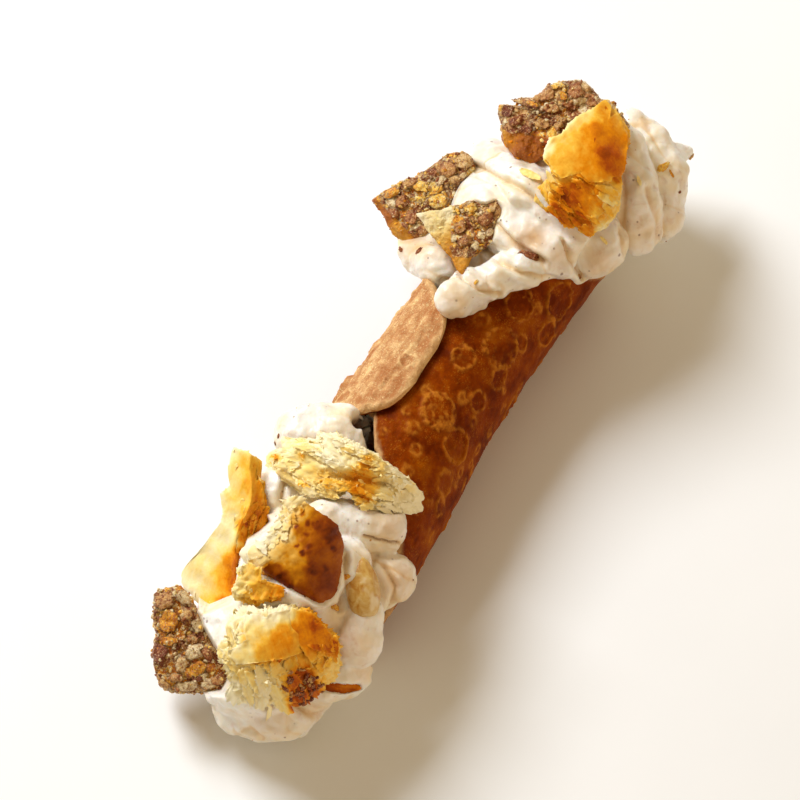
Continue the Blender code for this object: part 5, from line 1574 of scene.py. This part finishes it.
def chip_tree():
    """Geometry Nodes that strew chips of nut over a body, where it is nutty."""
    field, inputs, given = scatter_tree("strewn_chips", {
        "Geometry": "Geometry", "Density": "Float", "Smallest": "Float", "Largest": "Float",
        "Sides": "Int", "Seed": "Int", "Darkest": "Float", "Palest": "Float", "Material": "Material"})
    points, _ = scattered(field, given, "nutty")
    chip = field.node("GeometryNodeMeshIcoSphere", {}, {"Radius": 1.0, "Subdivisions": given["Sides"]})
    turn = field.node("FunctionNodeRandomValue", {"data_type": "FLOAT_VECTOR"},
                      {0: (0.0, 0.0, 0.0), 1: (6.28, 6.28, 6.28), "Seed": 1})
    squash = field.node("FunctionNodeRandomValue", {"data_type": "FLOAT_VECTOR"},
                        {0: (0.7, 0.6, 0.45), 1: (1.3, 1.1, 0.9), "Seed": 3})
    size = between(field, given["Smallest"], given["Largest"], 2)
    scale = field.node("ShaderNodeVectorMath", {"operation": "SCALE"}, {0: squash, "Scale": size})
    strewn = field.node("GeometryNodeInstanceOnPoints", {}, {
        "Points": points, "Instance": chip, "Rotation": turn, "Scale": scale})
    shade = between(field, given["Darkest"], given["Palest"], 4)
    rough = crumpled(field, marked(field, strewn, "shade", shade), 900.0, given["Largest"] * 1.5)
    rounded = field.node("GeometryNodeSetShadeSmooth", {}, {"Geometry": rough, "Shade Smooth": True})
    finished(field, rounded, given["Material"])
    return field.tree, inputs


chips_tree, chip_inputs = chip_tree()


def chips_over(name, carrier, density, smallest, largest, sides, seed, darkest, palest, node):
    """Chips strewn over a carrier, as one plain mesh. Density is in chips per square millimetre."""
    obj = strew(name, carrier, chips_tree, chip_inputs, {
        "Density": density / MM ** 2, "Smallest": smallest * MM, "Largest": largest * MM, "Sides": sides,
        "Seed": seed, "Darkest": darkest, "Palest": palest, "Material": chips_finish})
    hand_over(evaluated(obj), node)


def nut_piece(node, spec, seed, nutty, crag):
    """One broken piece of the filling: its body, its loose chips and crumbs, and flakes of its pastry."""
    points, faces, layers = broken_body(spec, seed, nutty, crag)
    body = piece_of(node + "_paste", points, faces, paste_finish, layers)
    hand_over(body, node)
    chips_over(node + "_chips", body, 0.20, 0.22, 0.50, 3, seed, 0.10, 0.98, node)
    chips_over(node + "_crumbs", body, 2.2, 0.06, 0.17, 1, seed + 1, 0.10, 0.84, node)
    flakes_over(node + "_flakes", body, 0.22, 0.4, 1.2, 14, seed + 2, 0.05, node,
                spec["fibres"])
    press_into(spec, 1.2)


def left_is_nutty(a, b, lift):
    """The left piece is pastry along its lower left edge and at its base."""
    return (1 - smooth_step(6.6, 8.0, -a * 0.70 - b * 0.70)) * (1 - smooth_step(6.3, 7.3, -lift))


def small_is_nutty(a, b, lift):
    """The small piece is pastry at its two left corners and at its base."""
    return smooth_step(-3.6, -2.0, a) * smooth_step(-5.6, -3.6, b) * (1 - smooth_step(3.2, 4.0, -lift))


def top_is_nutty(a, b, lift):
    """The top piece is pastry in its lower part and at its base."""
    return smooth_step(-4.8, -2.6, b + 0.10 * a) * (1 - smooth_step(6.3, 7.3, -lift))


nut_piece("nut_piece_left", NUT_LEFT, 201, left_is_nutty, 0.8)
nut_piece("nut_piece_small", NUT_SMALL, 211, small_is_nutty, 0.7)
nut_piece("nut_piece_top", NUT_TOP, 221, top_is_nutty, 0.9)
nut_piece("nut_piece_end", NUT_END, 231, lambda a, b, lift: np.ones_like(a), 0.6)


# One whole nut, peeled and yellowish, is pressed into the cream near the low end.
WHOLE_NUT = dict(centre=(-46.2, -11.4, 28.0), radii=(3.1, 5.8, 2.8), lean=math.radians(8.0))


def kernel_finish():
    """A peeled kernel: yellow-green with brown veins, smeared with cream."""
    finish = Finish("kernel")
    mix = finish.field.mix
    vein = finish.grain(2.0, 4.0, 0.6, 0.8)
    smear = finish.grain(4.0, 2.0)
    colour = finish.ramp(vein, [(0.32, srgb(190, 130, 40)), (0.50, srgb(212, 172, 92)),
                                (0.72, srgb(226, 200, 138))])
    colour = mix(smear.rise(0.50, 0.66) * 0.8, colour, CREAM_WARM)
    return finish.shader(colour, vein, 0.2, Roughness=0.34, Subsurface_Weight=0.05,
                         Subsurface_Radius=(1.0, 0.7, 0.3), Subsurface_Scale=0.0015)


def kernel_piece():
    """The kernel: an egg shape, a little narrower and unevenly grown."""
    centre, radii = Vector(WHOLE_NUT["centre"]), WHOLE_NUT["radii"]
    side = ACROSS * math.cos(WHOLE_NUT["lean"]) + UPWARD * math.sin(WHOLE_NUT["lean"])
    length = UPWARD * math.cos(WHOLE_NUT["lean"]) - ACROSS * math.sin(WHOLE_NUT["lean"])
    points, faces = ball((0, 0, 0), (1, 1, 1), 5)
    placed = []
    for x, y, z in points:
        swell = 1 + 0.05 * noise.fractal(Vector((x, y, z)) * 1.8, 0.9, 2.0, 3)
        placed.append(centre + (side * x * radii[0] * (1 - 0.12 * y) + length * y * radii[1]
                                + TOWARD * z * radii[2]) * swell)
    return piece_of("whole_nut_kernel", placed, faces, kernel_finish())


hand_over(kernel_piece(), "whole_nut")


# Small things stuck to the toppings and the cream when it was dressed: bits of nut, shards of filo and
# dust. They were pressed in by hand or fell there, so each sits half sunk where it is.
# A bit is (mm across, mm up, mm long, mm wide, degrees, shade), and it is seen from the front
CREAM_BITS = [(17.6, 27.6, 4.0, 2.4, 10, 0.12), (42.5, 44.1, 2.4, 1.3, 30, 0.86),
              (44.0, 43.0, 2.2, 0.5, -60, 0.94), (47.8, 46.1, 1.3, 0.9, 70, 0.40),
              (-2.4, 28.6, 1.6, 0.9, 40, 0.08), (-5.7, 28.9, 1.3, 0.8, -20, 0.12),
              (-28.0, -5.3, 1.1, 0.5, 50, 0.12), (-28.6, -6.6, 0.9, 0.4, 60, 0.08),
              (-17.2, -5.3, 1.5, 0.5, 80, 0.12), (-15.6, -30.7, 1.8, 1.1, 20, 0.90),
              (-17.8, -36.2, 2.0, 1.2, -30, 0.90), (-15.9, -50.5, 1.4, 0.9, 20, 0.08),
              (41.0, 26.5, 1.6, 0.8, 30, 0.92), (33.6, 24.0, 1.0, 0.6, 0, 0.14),
              (8.0, 22.8, 1.0, 0.6, 50, 0.86), (45.6, 39.5, 0.9, 0.5, 10, 0.08),
              (-21.0, -15.0, 1.0, 0.5, 70, 0.10), (-3.0, -49.0, 1.2, 0.7, 0, 0.10)]
CHUNK_BITS = [(-23.7, -50.4), (-25.2, -51.6), (-22.2, -49.2), (-21.6, -51.6), (-24.4, -53.0),
              (-26.2, -50.0), (-22.8, -53.0), (-20.6, -50.2), (-23.2, -48.0), (-25.0, -48.8),
              (-20.9, -52.9), (-26.6, -52.4)]
WELL_IN_FRONT = 80.0
SHARD_CORNERS = 12
CRUMBS_TOGETHER = 3
CHUNK_CRUMB_SHADES = [0.04, 0.08, 0.12, 0.16, 0.40]
# A shard is (mm across, mm up, mm long, mm wide, degrees, how toasted it is)
CREAM_SHARDS = [(17.9, 42.6, 4.6, 1.5, -25, 0.24), (-29.6, -55.8, 4.2, 0.9, 80, 0.10),
                (38.0, 41.5, 2.0, 0.8, -70, 0.16), (26.5, 44.5, 2.4, 0.9, -20, 0.14),
                (31.5, 30.5, 2.2, 0.7, -50, 0.22)]


def surfaces(pieces):
    """One tree of all faces of some pieces, for finding what is in front."""
    shapes = [([v.co / MM for v in piece.data.vertices], [face.vertices for face in piece.data.polygons])
              for piece in pieces]
    return BVHTree.FromPolygons(*merged(shapes))


def seen_at(tree, across, up):
    """The frontmost point at a place of the picture, and which way the surface faces there."""
    start = MIDDLE + seen(across, up, WELL_IN_FRONT)
    place, normal, _, _ = tree.ray_cast(start, -TOWARD)
    return place, normal


def stuck_bits(name, tree, bits, node):
    """Bits of nut, each half sunk in what it landed on."""
    shapes, shades = [], []
    for number, (across, up, long, wide, degrees, shade) in enumerate(bits):
        place, normal = seen_at(tree, across, up)
        if place is None:
            continue
        lean = math.radians(degrees)
        length = ACROSS * math.cos(lean) + UPWARD * math.sin(lean)
        length = (length - normal * length.dot(normal)).normalized()
        side = normal.cross(length)
        points, faces = ball((0, 0, 0), (1, 1, 1), 3)
        made = []
        for x, y, z in points:
            offset = Vector((number * 3.1, 7.0, 0.0))
            swell = 1 + 0.45 * noise.fractal(Vector((x, y, z)) * 1.4 + offset, 0.9, 2.0, 3)
            reach = length * x * long + side * y * wide + normal * z * wide * 0.7
            made.append(tuple(place + reach * swell / 2))
        shapes.append((made, faces))
        shades.append(np.full(len(made), shade))
    piece = piece_of(name, *merged(shapes), chips_finish, {"shade": np.concatenate(shades)})
    hand_over(piece, node)


cream_tree = surfaces([cream_high, cream_low])
stuck_bits("cream_nut_bits", cream_tree, CREAM_BITS, "cream")
scatter = random.Random(77)
chunk_crumbs = []
for x, y in CHUNK_BITS:
    for _ in range(CRUMBS_TOGETHER):
        chunk_crumbs.append((x + scatter.gauss(0, 0.6), y + scatter.gauss(0, 0.6),
                             scatter.uniform(0.6, 1.7), scatter.uniform(0.4, 1.1),
                             scatter.uniform(0, 180), scatter.choice(CHUNK_CRUMB_SHADES)))
stuck_bits("filo_chunk_crumbs", surfaces([chunk_stack]), chunk_crumbs, "filo_chunk")
shards = []
for number, (across, up, long, wide, degrees, level) in enumerate(CREAM_SHARDS):
    place, normal = seen_at(cream_tree, across, up)
    lean = math.radians(degrees)
    outline = []
    for k in range(SHARD_CORNERS):
        t = k * math.tau / SHARD_CORNERS
        x, y = long / 2 * math.cos(t), wide / 2 * math.sin(t)
        outline.append(turned(x, y, lean))
    toward = max(normal.dot(TOWARD), 0.3)
    shard = dict(centre=tuple(place), slope=(-normal.dot(ACROSS) / toward, -normal.dot(UPWARD) / toward),
                 bow=(0.03, 0.02), fibres=degrees, spots=[(0, 0, 4, level)])
    shards.append(torn_sheet(shard, 0.35, 500 + number, outline, wave=0.25, wave_size=1.6, fray=0.12,
                             crumple=0.3, curl=0.7, thick=0.16, sectors=60, rings=6, fringe=0.15))
stack_of("cream", shards, name="cream_filo_shards")
chips_over("cream_high_specks", cream_high, 0.030, 0.08, 0.24, 1, 601, 0.06, 0.50, "cream")
chips_over("cream_low_specks", cream_low, 0.030, 0.08, 0.28, 1, 602, 0.06, 0.50, "cream")
